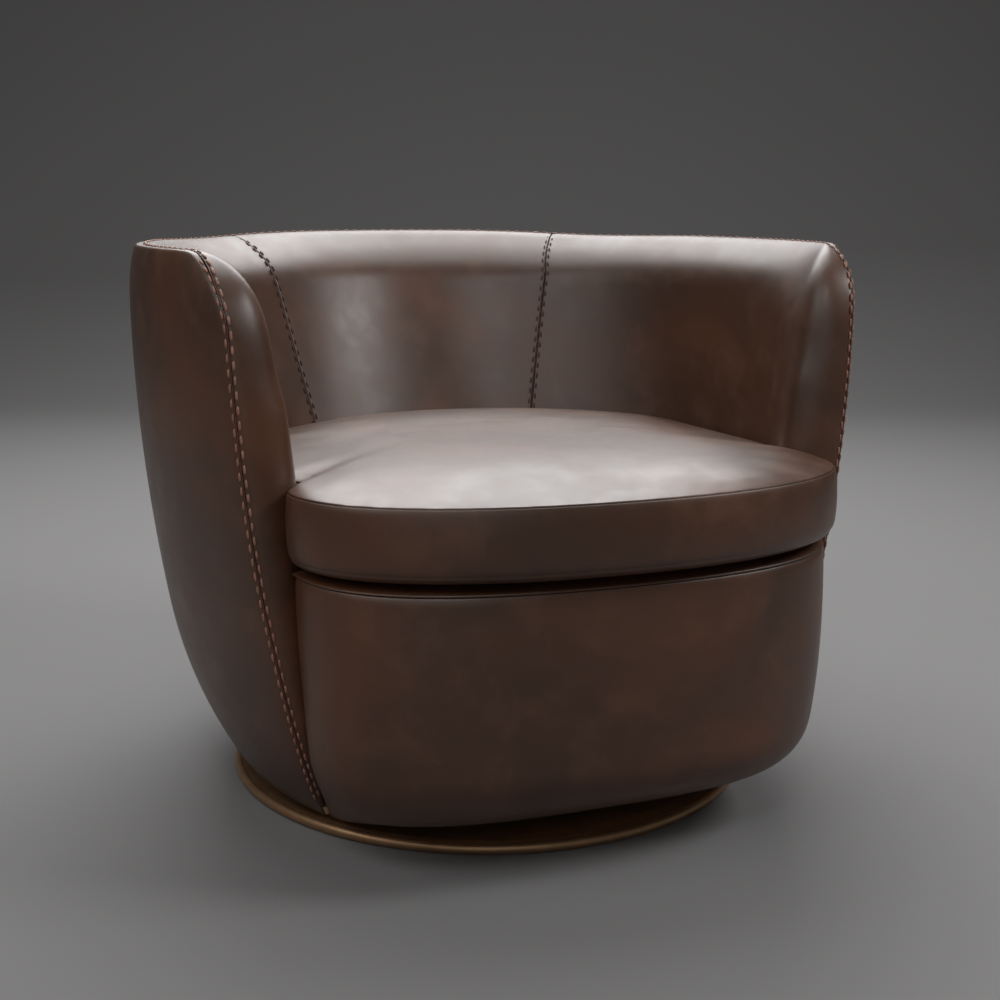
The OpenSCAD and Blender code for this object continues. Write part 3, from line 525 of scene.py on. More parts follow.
    def face_normal(self, t: np.ndarray) -> np.ndarray:
        """Direction that the inner face looks in at the outer seam: forward, and up along the rim."""
        roll = self.roll(t)
        return np.stack([0 * roll, -np.sin(roll), np.cos(roll)], axis=-1)


@dataclass(frozen=True)
class SeamShape:
    """How two pieces of leather dip where they are sewn together."""

    fillet: float = 0.0
    fillet_width: float = 0.011
    groove: float = 1.1 * MM
    groove_width: float = 1.2 * MM
    valley: float = 0.4 * MM
    valley_width: float = 9 * MM

    def depth(self, distance: np.ndarray, share: np.ndarray | float = 1.0) -> np.ndarray:
        """Depth of the leather's face under the plain outline.

        Args:
            distance: Distance from the seam.
            share: Share of the fillet that the edge has there.

        Returns:
            Depths.
        """
        rounded = self.fillet * share * np.clip(1 - distance / self.fillet_width, 0, 1) ** 2
        return (rounded + self.groove * np.exp(-((distance / self.groove_width) ** 2))
                + self.valley * np.exp(-((distance / self.valley_width) ** 2)))

    def slope(self, distance: float, share: np.ndarray | float = 1.0) -> np.ndarray:
        """Fall of the depth with the distance."""
        step = 0.1 * MM
        return (self.depth(distance + step, share) - self.depth(distance - step, share)) / (2 * step)


EDGE_SEAM = SeamShape(fillet=4.6 * MM, fillet_width=0.020, groove=0.5 * MM)
FLAT_SEAM = SeamShape(groove=1.4 * MM)


@dataclass
class SeamLine:
    """A sewn line with the directions of the two faces that meet along it.

    Attributes:
        points: Points along the line, on the plain outline.
        first: Normals of the face on the line's first side.
        second: Normals of the face on its second side.
        shape: How the leather dips along it.
        inward: The way that the leather gives in at each point.
        share: Share of the fillet at each point, three times over.
        rolled: How far the rim's edge is rolled in at each point.
    """

    points: np.ndarray
    first: np.ndarray
    second: np.ndarray
    shape: SeamShape

    def __post_init__(self) -> None:
        """Work out the line's own directions."""
        self.length = run_length(self.points)
        self.along = unit(np.gradient(self.points, axis=0))
        self.inward = -unit(self.first + self.second)
        self.share = np.ones((len(self.points), 3))
        self.rolled = np.zeros((len(self.points), 3))

    def at(self, values: np.ndarray, where: np.ndarray) -> np.ndarray:
        """Read values that belong to the line's points at given lengths along it."""
        return np.stack([np.interp(where, self.length, values[:, k]) for k in range(3)], axis=-1)

    def beside(self, where: np.ndarray, distance: float, side: Side, lift: float
               ) -> tuple[np.ndarray, np.ndarray, np.ndarray]:
        """Find places on the leather beside the line.

        Args:
            where: Lengths along the line.
            distance: Distance from the line.
            side: Side of the line.
            lift: Height above the leather.

        Returns:
            Points, directions along the line, and normals.
        """
        along = unit(self.at(self.along, where))
        own = unit(self.at(self.first if side is Side.FIRST else self.second, where))
        inward = self.at(self.inward, where)
        across = unit(np.cross(own, along)) * side.value * self.turn
        share = self.at(self.share, where)[:, :1]
        rolled = self.at(self.rolled, where)
        left = 1 - distance / side.fall
        leaning = across + inward * self.shape.slope(distance, share)
        if side is Side.FIRST:
            leaning -= rolled * 2 * left / side.fall
        normal = unit(np.cross(along, leaning))
        normal *= np.sign(-(normal * inward).sum(axis=-1, keepdims=True))
        points = self.at(self.points, where) + across * distance
        points += inward * self.shape.depth(distance, share) + normal * lift
        return points + rolled * left**2, along, normal

    @property
    def turn(self) -> int:
        """Sign that makes the first side the one that the line's first face lies on."""
        middle = len(self.points) // 2
        across = np.cross(self.first[middle], self.along[middle])
        flat = abs(float(self.first[middle] @ self.second[middle])) > 0.99
        return 1 if flat or across @ self.second[middle] < 0 else -1


# Materials


def linear(colour: str) -> tuple[float, float, float, float]:
    """Turn an sRGB hex colour to the linear values that Blender works in.

    Args:
        colour: Colour as #rrggbb.

    Returns:
        Red, green, blue and 1.
    """
    parts = [int(colour[k:k + 2], 16) / 255 for k in (1, 3, 5)]
    return (*(p / 12.92 if p <= 0.04045 else ((p + 0.055) / 1.055) ** 2.4 for p in parts), 1.0)


def add_node(material: bpy.types.Material, kind: str, settings: dict | None = None,
             links: dict | None = None) -> bpy.types.Node:
    """Add a node to a material.

    Args:
        material: Material that gets the node.
        kind: Blender's name of the node type.
        settings: Values by the name of a field, or by the name or number of an input.
        links: Sockets to join to the node's inputs, by the input's name or number.

    Returns:
        The new node.
    """
    tree = material.node_tree
    node = tree.nodes.new(kind)
    for key, value in (settings or {}).items():
        if isinstance(key, str) and hasattr(node, key):
            setattr(node, key, value)
        else:
            node.inputs[key].default_value = value
    for key, socket in (links or {}).items():
        tree.links.new(socket, node.inputs[key])
    return node


def add_ramp(material: bpy.types.Material, factor: bpy.types.NodeSocket,
             stops: Sequence[tuple[float, tuple[float, float, float, float]]]) -> bpy.types.NodeSocket:
    """Turn a factor to a colour between given stops.

    Args:
        material: Material that gets the ramp.
        factor: Socket with values from 0 to 1.
        stops: Place and linear colour of each stop, in order.

    Returns:
        Colour socket.
    """
    ramp = add_node(material, "ShaderNodeValToRGB", links={"Fac": factor})
    elements = ramp.color_ramp.elements
    while len(elements) < len(stops):
        elements.new(0.5)
    for element, (place, colour) in zip(elements, stops):
        element.position = place
        element.color = colour
    return ramp.outputs["Color"]


def new_material(name: str) -> tuple[bpy.types.Material, bpy.types.Node]:
    """Make a material with a Principled shader.

    Args:
        name: Name of the material.

    Returns:
        The material and its shader node.
    """
    material = bpy.data.materials.new(name)
    material.use_nodes = True
    return material, material.node_tree.nodes["Principled BSDF"]


def grey(value: float) -> tuple[float, float, float, float]:
    """A grey of a given linear value."""
    return (value, value, value, 1.0)


@dataclass(frozen=True)
class PullUpLeather:
    """Waxed pull-up leather: dark, cloudy, paler where it is rubbed, with a soft gloss.

    The dye lies unevenly, so the colour drifts over a hand's width. The wax gives a broad sheen, and
    scuffs show as thin pale lines. Near the seams the colour is painted darker, as shade.
    """

    name: str = "pull_up_leather"
    deep: str = "#3d2516"
    body: str = "#482c1b"
    warm: str = "#55331f"
    rubbed: str = "#765039"
    roughness: float = 0.44
    specular: float = 0.52
    coat: float = 0.25
    coat_roughness: float = 0.34
    cloud_size: float = 0.20
    patch_size: float = 0.06
    hide_size: float = 0.05
    grain_size: float = 1.7 * MM
    # Width of the painted shade beside the seams.
    seam_shade_width: float = 0.010
    scuff_spacing: float = 0.09
    scuff_break: float = 1 / 14
    # Turn and stretch of the coordinates for each of the two ways that the scuffs run.
    scuff_ways: tuple = (((0.3, 0.5, 0.4), (1.0, 9.0, 9.0)), ((1.1, 0.2, 1.3), (9.0, 1.0, 9.0)))

    def build(self) -> bpy.types.Material:
        """Make the material.

        Returns:
            The leather.
        """
        material, shader = new_material(self.name)
        place = add_node(material, "ShaderNodeTexCoord").outputs["Object"]
        clouds, patches = (
            add_node(material, "ShaderNodeTexNoise",
                     {"Scale": 1 / size, "Detail": detail, "Roughness": rough, "Distortion": bent},
                     {"Vector": place}).outputs["Fac"]
            for size, detail, rough, bent in ((self.cloud_size, 3.0, 0.55, 0.5),
                                              (self.patch_size, 6.0, 0.62, 0.3)))
        base = add_ramp(material, clouds, [(0.34, linear(self.deep)), (0.52, linear(self.body)),
                                           (0.68, linear(self.warm))])
        rub = add_ramp(material, patches, [(0.50, grey(0)), (0.80, grey(0.30))])
        colour = base
        for wear in (rub, self.scuffs(material, place)):
            colour = add_node(material, "ShaderNodeMix", {"data_type": "RGBA", 7: linear(self.rubbed)},
                              {0: wear, 6: colour}).outputs[2]
        # Painted shade near the seams, multiplied into the colour.
        colour = add_node(material, "ShaderNodeMix", {"data_type": "RGBA", "blend_type": "MULTIPLY", 0: 1.0},
                          {6: colour, 7: self.seam_shade(material)}).outputs[2]
        material.node_tree.links.new(colour, shader.inputs["Base Color"])
        gloss = add_node(material, "ShaderNodeMapRange",
                         {1: 0.35, 2: 0.7, 3: self.roughness - 0.05, 4: self.roughness + 0.08},
                         {"Value": patches}).outputs["Result"]
        material.node_tree.links.new(gloss, shader.inputs["Roughness"])
        material.node_tree.links.new(self.relief(material, place), shader.inputs["Normal"])
        shader.inputs["Specular IOR Level"].default_value = self.specular
        shader.inputs["Coat Weight"].default_value = self.coat
        shader.inputs["Coat Roughness"].default_value = self.coat_roughness
        return material

    def seam_shade(self, material: bpy.types.Material) -> bpy.types.NodeSocket:
        """Darken the leather within a few millimetres of a seam: painted shade in and beside the seam's
        groove.

        Args:
            material: Material that gets the nodes.

        Returns:
            Colour to multiply the leather's own colour by.
        """
        seam = add_node(material, "ShaderNodeAttribute", {"attribute_name": "seam"}).outputs["Fac"]
        share = add_node(material, "ShaderNodeMath",
                         {"operation": "MULTIPLY", 1: 1 / self.seam_shade_width, "use_clamp": True}, {0: seam})
        return add_ramp(material, share.outputs[0],
                        [(0.0, grey(0.55)), (0.07, grey(0.82)), (0.25, grey(1.0))])

    def scuffs(self, material: bpy.types.Material, place: bpy.types.NodeSocket) -> bpy.types.NodeSocket:
        """Draw thin pale lines in two directions, broken up by a coarse noise.

        Args:
            material: Material that gets the nodes.
            place: Coordinates.

        Returns:
            Strength of the scuffs.
        """
        lines = []
        for turn, stretch in self.scuff_ways:
            turned = add_node(material, "ShaderNodeMapping", {"Rotation": turn, "Scale": stretch},
                              {"Vector": place}).outputs["Vector"]
            wave = add_node(material, "ShaderNodeTexNoise",
                            {"Scale": 1 / self.scuff_spacing, "Detail": 2.0, "Distortion": 1.2},
                            {"Vector": turned}).outputs["Fac"]
            lines.append(add_ramp(material, wave, [(0.664, grey(0)), (0.67, grey(1)), (0.676, grey(0))]))
        both = add_node(material, "ShaderNodeMath", {"operation": "ADD"}, dict(enumerate(lines))).outputs[0]
        breaks = add_node(material, "ShaderNodeTexNoise", {"Scale": 1 / self.scuff_break, "Detail": 3.0},
                          {"Vector": place})
        broken = add_ramp(material, breaks.outputs["Fac"], [(0.5, grey(0)), (0.62, grey(0.4))])
        return add_node(material, "ShaderNodeMath", {"operation": "MULTIPLY", "use_clamp": True},
                        {0: both, 1: broken}).outputs[0]

    def relief(self, material: bpy.types.Material, place: bpy.types.NodeSocket) -> bpy.types.NodeSocket:
        """Give the face its grain and the slow unevenness of a stretched hide.

        Args:
            material: Material that gets the nodes.
            place: Coordinates.

        Returns:
            Normal socket.
        """
        grain = add_node(material, "ShaderNodeTexVoronoi",
                         {"feature": "SMOOTH_F1", "Scale": 1 / self.grain_size, "Smoothness": 0.6},
                         {"Vector": place}).outputs["Distance"]
        hide = add_node(material, "ShaderNodeTexNoise",
                        {"Scale": 1 / self.hide_size, "Detail": 4.0, "Roughness": 0.45},
                        {"Vector": place}).outputs["Fac"]
        low = add_node(material, "ShaderNodeBump", {"Strength": 0.16, "Distance": 2.0 * MM},
                       {"Height": hide}).outputs["Normal"]
        return add_node(material, "ShaderNodeBump", {"Strength": 0.16, "Distance": 0.25 * MM},
                        {"Height": grain, "Normal": low}).outputs["Normal"]


@dataclass(frozen=True)
class PlainFinish:
    """A finish of one colour with a fine drift in tone and relief.

    Attributes:
        name: Common name of the real material.
        colour: Its colour.
        roughness: How dull its face is.
        metallic: 1 for a bare metal and 0 for the rest.
        drift: How much its tone drifts.
        drift_size: Width of the drift.
        relief: Depth of its texture.
        relief_size: Width of its texture.
        stretch: How much the texture is drawn out along X, Y and Z.
    """

    name: str
    colour: str
    roughness: float
    metallic: float = 0.0
    drift: float = 0.12
    drift_size: float = 0.05
    relief: float = 0.05 * MM
    relief_size: float = 1.5 * MM
    stretch: tuple[float, float, float] = (1.0, 1.0, 1.0)

    def build(self) -> bpy.types.Material:
        """Make the material.

        Returns:
            The finish.
        """
        material, shader = new_material(self.name)
        raw = add_node(material, "ShaderNodeTexCoord").outputs["Object"]
        mapping = add_node(material, "ShaderNodeMapping", {"Scale": self.stretch}, {"Vector": raw})
        place = mapping.outputs["Vector"]
        tone = add_node(material, "ShaderNodeTexNoise", {"Scale": 1 / self.drift_size, "Detail": 4.0},
                        {"Vector": place}).outputs["Fac"]
        base = np.array(linear(self.colour))
        dark = (*(base[:3] * (1 - self.drift)), 1.0)
        pale = (*np.minimum(base[:3] * (1 + self.drift), 1.0), 1.0)
        colour = add_ramp(material, tone, [(0.3, dark), (0.7, pale)])
        material.node_tree.links.new(colour, shader.inputs["Base Color"])
        grain = add_node(material, "ShaderNodeTexNoise", {"Scale": 1 / self.relief_size, "Detail": 2.0},
                         {"Vector": place}).outputs["Fac"]
        bump = add_node(material, "ShaderNodeBump", {"Strength": 0.5, "Distance": self.relief},
                        {"Height": grain}).outputs["Normal"]
        material.node_tree.links.new(bump, shader.inputs["Normal"])
        dullest = min(1.0, 1.12 * self.roughness)
        rough = add_node(material, "ShaderNodeMapRange", {3: 0.88 * self.roughness, 4: dullest},
                         {"Value": tone}).outputs["Result"]
        material.node_tree.links.new(rough, shader.inputs["Roughness"])
        shader.inputs["Metallic"].default_value = self.metallic
        return material


# Waxed polyester thread: terracotta round the outer seam; along the inner ones the same thread is painted
# dark brown for the shade in their grooves. Dull, with the light catching its twist.
EDGE_THREAD = PlainFinish("waxed_thread", "#8f6452", 0.5, drift=0.3, drift_size=0.006, relief=0.2 * MM,
                          relief_size=0.6 * MM)
SHADED_THREAD = replace(EDGE_THREAD, name="shaded_waxed_thread", colour="#43281e", roughness=0.75)
# Brass plate darkened to antique bronze and brushed, with a soft metal gloss.
BRONZE = PlainFinish("antique_bronze", "#a98665", 0.42, metallic=0.8, drift=0.14, drift_size=0.03,
                     relief=0.02 * MM, relief_size=0.9 * MM)
# Birch plywood, sanded and left bare: pale, with the grain drawn out along X.
PLYWOOD = PlainFinish("birch_plywood", "#c9a574", 0.6, drift=0.16, drift_size=0.02, relief=0.08 * MM,
                      stretch=(0.25, 1.0, 2.0))
# Zinc-plated steel sheet and screws: grey, even, bright.
STEEL = PlainFinish("zinc_plated_steel", "#a3a7ab", 0.35, metallic=1.0, drift=0.06)
# Stamped brass sheet of the ball cage: yellow and bright.
CAGE_BRASS = PlainFinish("stamped_brass", "#b08d4c", 0.35, metallic=1.0, drift=0.08)
# Moulded nylon: off-white, with a low gloss.
NYLON = PlainFinish("nylon", "#e4dfd0", 0.45, drift=0.04)
# Pressed wool felt: charcoal, matt, with a rough face.
FELT = PlainFinish("wool_felt", "#3a3a3c", 0.95, drift=0.2, drift_size=0.004, relief=0.3 * MM)
# Cut polyurethane foam: cream, matt, with open cells.
FOAM = PlainFinish("polyurethane_foam", "#e6d9ae", 0.9, drift=0.05, relief=0.4 * MM, relief_size=2 * MM)
# Woven cotton duck: black, matt, with a fine uneven face.
BLACK_CLOTH = PlainFinish("cotton_duck", "#232224", 0.85, drift=0.25, drift_size=0.003, relief=0.15 * MM,
                          relief_size=1.2 * MM)
# Die-cast zinc, burnished: dark grey and bright.
SLIDER_METAL = PlainFinish("burnished_zinc", "#6f6a64", 0.35, metallic=1.0)
# Nearly black cord in the bottom of the inner seams: painted shade of their grooves.
SEAM_SHADE_CORD = PlainFinish("painted_seam_shade_cord", "#24160f", 0.6, drift=0.2, drift_size=0.01)
FINISH_OF_SLOT = {"bronze": BRONZE, "plywood": PLYWOOD, "steel": STEEL, "cage_brass": CAGE_BRASS,
                  "nylon": NYLON, "felt": FELT, "black_cloth": BLACK_CLOTH, "foam": FOAM,
                  "slider_metal": SLIDER_METAL}


class Wardrobe:
    """Materials by finish, each made once."""

    def __init__(self) -> None:
        """Start empty."""
        self.made: dict[str, bpy.types.Material] = {}

    def dress(self, obj: bpy.types.Object, finish: PullUpLeather | PlainFinish,
              slot: str | None = None) -> None:
        """Give a new piece its finish.

        Args:
            obj: Piece to dress.
            finish: Its finish.
            slot: Name of the record's material slot, if it has one; not used.
        """
        obj.data.materials.clear()
        obj.data.materials.append(self.get(finish))

    def get(self, finish: PullUpLeather | PlainFinish) -> bpy.types.Material:
        """Return a finish's material, and make it on first use."""
        if finish.name not in self.made:
            self.made[finish.name] = finish.build()
        return self.made[finish.name]


LEATHER = PullUpLeather()
# Thickness of the leather.
HIDE = 2.0 * MM


def upholster(wardrobe: Wardrobe, obj: bpy.types.Object, nodes: Sequence[str]) -> None:
    """Give a panel of leather its thickness, smooth it, dress it and set it on the tub.

    Args:
        wardrobe: Materials.
        obj: Panel.
        nodes: CAD nodes that it stands for.
    """
    apply_modifier(obj, "SOLIDIFY", thickness=HIDE, offset=-1.0)
    apply_modifier(obj, "SUBSURF", levels=1, render_levels=1)
    shade(obj)
    wardrobe.dress(obj, LEATHER, "leather")
    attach(obj, "tub")
    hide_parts(*nodes)
    LOG.info("%s: %d faces", obj.name, len(obj.data.polygons))


# Stitches


@dataclass(frozen=True)
class Stitching:
    """Size and spacing of a row of stitches."""

    length: float = 10.6 * MM
    width: float = 3.3 * MM
    height: float = 2.2 * MM
    pitch: float = 15.5 * MM
    offset: float = 3.5 * MM
    dive: float = 0.5
    lift: float = 0.3

    def model(self) -> tuple[np.ndarray, list[list[int]]]:
        """Model one stitch: a short thick thread whose ends dive into the leather.

        Returns:
            Its points, along X and upright along Z, and its faces.
        """
        deselect_all()
        bpy.ops.mesh.primitive_uv_sphere_add(segments=6, ring_count=7, radius=1)
        obj = bpy.context.object
        points = get_points(obj)[:, [2, 0, 1]]
        points = np.sign(points) * np.abs(points) ** np.array([0.8, 1.0, 1.0])
        points *= np.array([self.length, self.width, self.height]) / 2
        points[:, 2] -= self.dive * self.height * (2 * points[:, 0] / self.length) ** 4
        faces = [list(p.vertices) for p in obj.data.polygons]
        bpy.data.objects.remove(obj)
        return points, faces

    def sew(self, name: str, rows: Iterable[tuple[np.ndarray, np.ndarray, np.ndarray]]) -> bpy.types.Object:
        """Lay copies of the stitch along rows.

        Args:
            name: Name of the new object.
            rows: Points, directions along the row, and normals, for each row.

        Returns:
            One object with all the stitches.
        """
        model, faces = self.model()
        points, polygons = [], []
        for places, along, normal in rows:
            across = np.cross(normal, along)
            for p, x, y, z in zip(places, along, across, normal):
                start = len(points) * len(model)
                points.append(p + model[:, :1] * x + model[:, 1:2] * y + model[:, 2:] * z)
                polygons.extend([[start + v for v in face] for face in faces])
        mesh = bpy.data.meshes.new(name)
        mesh.from_pydata(np.concatenate(points).tolist(), [], polygons)
        obj = bpy.data.objects.new(name, mesh)
        bpy.context.collection.objects.link(obj)
        face_outwards(obj)
        bpy.ops.object.shade_smooth()
        return obj


EDGE_STITCHES = Stitching()
INNER_STITCHES = Stitching(length=9.6 * MM, width=2.8 * MM, offset=4.0 * MM)
CORD_STEP = 4 * MM


def sew_both_sides(name: str, line: SeamLine, stitching: Stitching, margin: float) -> bpy.types.Object:
    """Sew one row of stitches on each side of a seam, staggered by half a pitch.

    Args:
        name: Name of the new object.
        line: Seam.
        stitching: Size and spacing of the stitches.
        margin: Length left free at both ends.

    Returns:
        One object with both rows.
    """
    rows = []
    for side, shift in ((Side.FIRST, 0.0), (Side.SECOND, 0.5)):
        where = np.arange(margin + shift * stitching.pitch, line.length[-1] - margin, stitching.pitch)
        rows.append(line.beside(where, stitching.offset, side, stitching.lift * stitching.height))
    return stitching.sew(name, rows)


def lay_cord(name: str, line: SeamLine, radius: float, depth: float) -> bpy.types.Object:
    """Lay a thin cord of turned-in leather in the bottom of a seam.

    Args:
        name: Name of the new object.
        line: Seam.
        radius: Radius of the cord.
        depth: How deep the middle of the cord lies under the plain outline.

    Returns:
        The cord as a mesh.
    """
    where = np.arange(0, line.length[-1], CORD_STEP)
    points = line.at(line.points + line.rolled, where) + line.at(line.inward, where) * depth
    curve = bpy.data.curves.new(name, "CURVE")
    curve.dimensions = "3D"
    curve.bevel_depth = radius
    curve.bevel_resolution = 2
    curve.use_fill_caps = True
    spline = curve.splines.new("POLY")
    spline.points.add(len(points) - 1)
    for target, point in zip(spline.points, points):
        target.co = (*point, 1)
    obj = bpy.data.objects.new(name, curve)
    bpy.context.collection.objects.link(obj)
    take(obj)
    bpy.ops.object.convert(target="MESH")
    bpy.ops.object.shade_smooth()
    return bpy.context.object


# Upholstery of the arms and back


# Insets and heights of the rows that turn a panel's lowest edge under.
HEM_ROUND = ((24 * MM, 0.0), (12 * MM, 0.0), (3.4 * MM, 0.0), (0.9 * MM, 0.9 * MM), (0.0, 3.4 * MM))


def hemmed(surface: np.ndarray, distance: np.ndarray, lowest: int, floor: float,
           drawn_in: Callable[[float], np.ndarray]) -> tuple[np.ndarray, np.ndarray]:
    """Turn a surface's lowest edge under.

    Args:
        surface: Points in rows and columns.
        distance: Their distances from the nearest seam.
        lowest: First row that stays as it is.
        floor: Height of the hem.
        drawn_in: Gives the lowest row, drawn in by an inset.

    Returns:
        Points and distances with the rows of the hem in front.
    """
    turned = []
    for inset, rise in HEM_ROUND:
        row = drawn_in(inset)
        row[:, 2] = floor + rise
        turned.append(row)
    return (np.concatenate([np.array(turned), surface[lowest:]]),
            np.concatenate([np.tile(distance[:1], (len(turned), 1)), distance[lowest:]]))


@dataclass
class Tub:
    """Leather of the arms and back: an outer cover, three inner panels and their seams."""

    wardrobe: Wardrobe
    shape: TubShape = field(default_factory=TubShape)
    # Widest distances between rows and columns, and the columns that go on down to the floor.
    step: float = 12 * MM
    cover_step: float = 17 * MM
    strip_columns: float = 0.62
    # Height over which the seams' grooves fade out towards the hem, and the row where the hem ends.
    foot_fade: float = 0.040
    hem_top: float = 0.03
    # The rim's rolled-in edge: its share of the fillet, its inset and how far inward leans to the wall.
    rim_fillet: float = 0.30
    rim_inset: float = 0.011
    wall_lean: float = 0.3
    # Where the arms' upper front corner is smoothed: its end, foot and seam, with the widths of the fades.
    corner_end: float = -0.02
    corner_end_fade: float = 0.08
    corner_foot: float = 0.50
    corner_foot_fade: float = 0.06
    corner_seam: float = 1.5 * MM
    corner_seam_fade: float = 0.012
    corner_smoothing: int = 24
    # The moulded shell: its first column, its last row, its depth under the leather and its thickness.
    shell_front: float = 0.035
    shell_top: float = 2.5
    shell_depth: float = 3.4 * MM
    shell_thickness: float = 8.0 * MM
    shell_bevel: float = 2.0 * MM
    # The seams: length left free of stitches at their ends, and radius and depth of the edges in them; in the
    # inner seams the edge is a nearly black cord, painted shade of the groove.
    edge_margin: float = 0.020
    inner_margin: float = 0.012
    edge_cord: float = 0.8 * MM
    edge_cord_depth: float = 0.2 * MM
    inner_cord: float = 0.4 * MM
    inner_cord_rise: float = 0.1 * MM
    # Row at which the inner seams start, out of sight behind the cushion.
    inner_foot: float = 1.05

    def build(self) -> None:
        """Make every piece."""
        self.outer_cover()
        self.arm_panel(Hand.LEFT)
        self.back_panel()
        self.arm_panel(Hand.RIGHT)
        self.shell()
        self.edge_seam()
        self.inner_seams()

    def spaced(self, sample: Callable[[np.ndarray], np.ndarray], low: float, high: float,
               fine_start: bool, fine_end: bool, step: float | None = None) -> np.ndarray:
        """Space rows or columns evenly along the surface and close together at seams.

        Args:
            sample: Gives points for an array of rows or columns.
            low: First row or column.
            high: Last row or column.
            fine_start: True where the first one is a seam.
            fine_end: True where the last one is a seam.
            step: Widest distance, or None for the usual one.

        Returns:
            Rows or columns.
        """
        dense = np.linspace(low, high, 400)
        length = run_length(sample(dense))
        return np.interp(graded(length[-1], step or self.step, fine_start, fine_end), length, dense)

    def dipped(self, surface: np.ndarray, distance: np.ndarray, inward: np.ndarray, seam: SeamShape,
               share: np.ndarray | float = 1.0) -> np.ndarray:
        """Press a surface in along a seam, less and less towards the floor."""
        hold = ease((surface[..., 2] - self.shape.body_z) / self.foot_fade)
        return surface + inward * (seam.depth(distance, share) * hold)[..., None]

    def edge_ways(self, points: np.ndarray, t: np.ndarray) -> np.ndarray:
        """Directions at the outer seam.

        Args:
            points: Points on the seam.
            t: Their rows.

        Returns:
            The way that the leather gives in, the way that the wall rolls in under the rim's seam, and the
            fillet's share, one after the other along the last axis.
        """
        upright = np.sin(self.shape.roll(t))[..., None]
        wall = self.shape.wall_normal(points)
        inward = -unit(self.wall_lean * wall + self.shape.face_normal(t))
        rolled = -unit(wall * np.array([1.0, 1.0, 0.0])) * self.rim_inset * (1 - upright**2) ** 2
        return np.concatenate([inward, rolled, self.rim_fillet + (1 - self.rim_fillet) * upright], axis=-1)

    def at_edge(self, surface: np.ndarray, t: np.ndarray, at_front: bool) -> tuple[np.ndarray, np.ndarray]:
        """Distance to the outer seam and its directions, blended between the rim and the arm's front.

        Args:
            surface: Points in rows and columns, with the rim in the last row.
            t: Row value of each point.
            at_front: True where the first column lies on the arm's front seam.

        Returns:
            Distances and directions.
        """
        down = run_length(surface[::-1], axis=0)[::-1]
        ways = np.broadcast_to(self.edge_ways(surface[-1], t[-1]), (*surface.shape[:2], 7))
        if not at_front:
            return down, ways
        along = run_length(surface, axis=1)
        near_rim = (along**2 / (along**2 + down**2 + 1e-12))[..., None]
        own = self.edge_ways(surface[:, 0], t[:, 0])[:, None, :]
        return down * along / ((down**4 + along**4) ** 0.25 + 1e-9), near_rim * ways + (1 - near_rim) * own

    def edged(self, surface: np.ndarray, distance: np.ndarray, ways: np.ndarray, side: Side) -> np.ndarray:
        """Round a surface off along the outer seam.

        Args:
            surface: Points.
            distance: Their distances from the seam.
            ways: Directions from at_edge.
            side: Side of the seam that the surface lies on.

        Returns:
            Moved points.
        """
        surface = self.dipped(surface, distance, ways[..., :3], EDGE_SEAM, ways[..., 6])
        if side is Side.FIRST:
            fade = np.clip(1 - distance / side.fall, 0, 1) ** 2
        else:
            fade = 1 - ease(distance / side.fall)
        return surface + ways[..., 3:6] * fade[..., None]

    def arm_panel(self, hand: Hand) -> None:
        """Make the leather of one arm, from its front seam to the inner seam.

        Args:
            hand: Which arm.
        """
        shape = self.shape
        s = self.spaced(lambda v: shape.inner_points(v, 0 * v + 1.7), 0, 2, True, True)
        t = np.concatenate([
            self.spaced(lambda v: shape.inner_points(0 * v + 0.4, v), 0, 1, True, False)[:-1],
            self.spaced(lambda v: shape.inner_points(0 * v + 1.4, v), 1, 3, False, True)])
        grid_s, grid_t = np.meshgrid(s, t)
        surface = shape.inner_points(grid_s, grid_t)
        edge_distance, ways = self.at_edge(surface, grid_t, True)
        normal = self.normals(surface)
        seam_distance = run_length(surface[:, ::-1], axis=1)[:, ::-1]
        surface = self.edged(surface, edge_distance, ways, Side.SECOND)
        surface = self.dipped(surface, seam_distance, -normal, FLAT_SEAM) * hand.flip
        distance = np.minimum(edge_distance, seam_distance)
        cell_s = (s[1:] + s[:-1])[None, :] / 2
        cell_t = (t[1:] + t[:-1])[:, None] / 2
        keep = (cell_t > 1) | (cell_s < self.strip_columns)
        if hand is Hand.RIGHT:
            surface, distance, keep = surface[:, ::-1], distance[:, ::-1], keep[:, ::-1]
        obj = add_sheet(f"arm_panel_{hand.word}", surface, distance,
                        np.broadcast_to(keep, (len(t) - 1, len(s) - 1)))
        self.soften_corner(obj)
        upholster(self.wardrobe, obj, [f"inner_leather_{hand.word}"])

    def soften_corner(self, obj: bpy.types.Object) -> None:
        """Smooth the arm's upper front corner, where its front meets the rim, and leave the seam alone."""
        points = get_points(obj)
        seam = np.empty(len(points))
        obj.data.attributes["seam"].data.foreach_get("value", seam)
        weight = (ease((self.corner_end - points[:, 1]) / self.corner_end_fade)
                  * ease((points[:, 2] - self.corner_foot) / self.corner_foot_fade)
                  * ease((seam - self.corner_seam) / self.corner_seam_fade))
        group = obj.vertex_groups.new(name="corner")
        for index in np.flatnonzero(weight > 0.01):
            group.add([int(index)], float(weight[index]), "REPLACE")
        apply_modifier(obj, "SMOOTH", factor=0.5, iterations=self.corner_smoothing, vertex_group="corner")
        obj.vertex_groups.clear()

    def normals(self, surface: np.ndarray) -> np.ndarray:
        """Normals of the inner face's right half, towards the seat."""
        return unit(np.cross(np.gradient(surface, axis=0), np.gradient(surface, axis=1)))

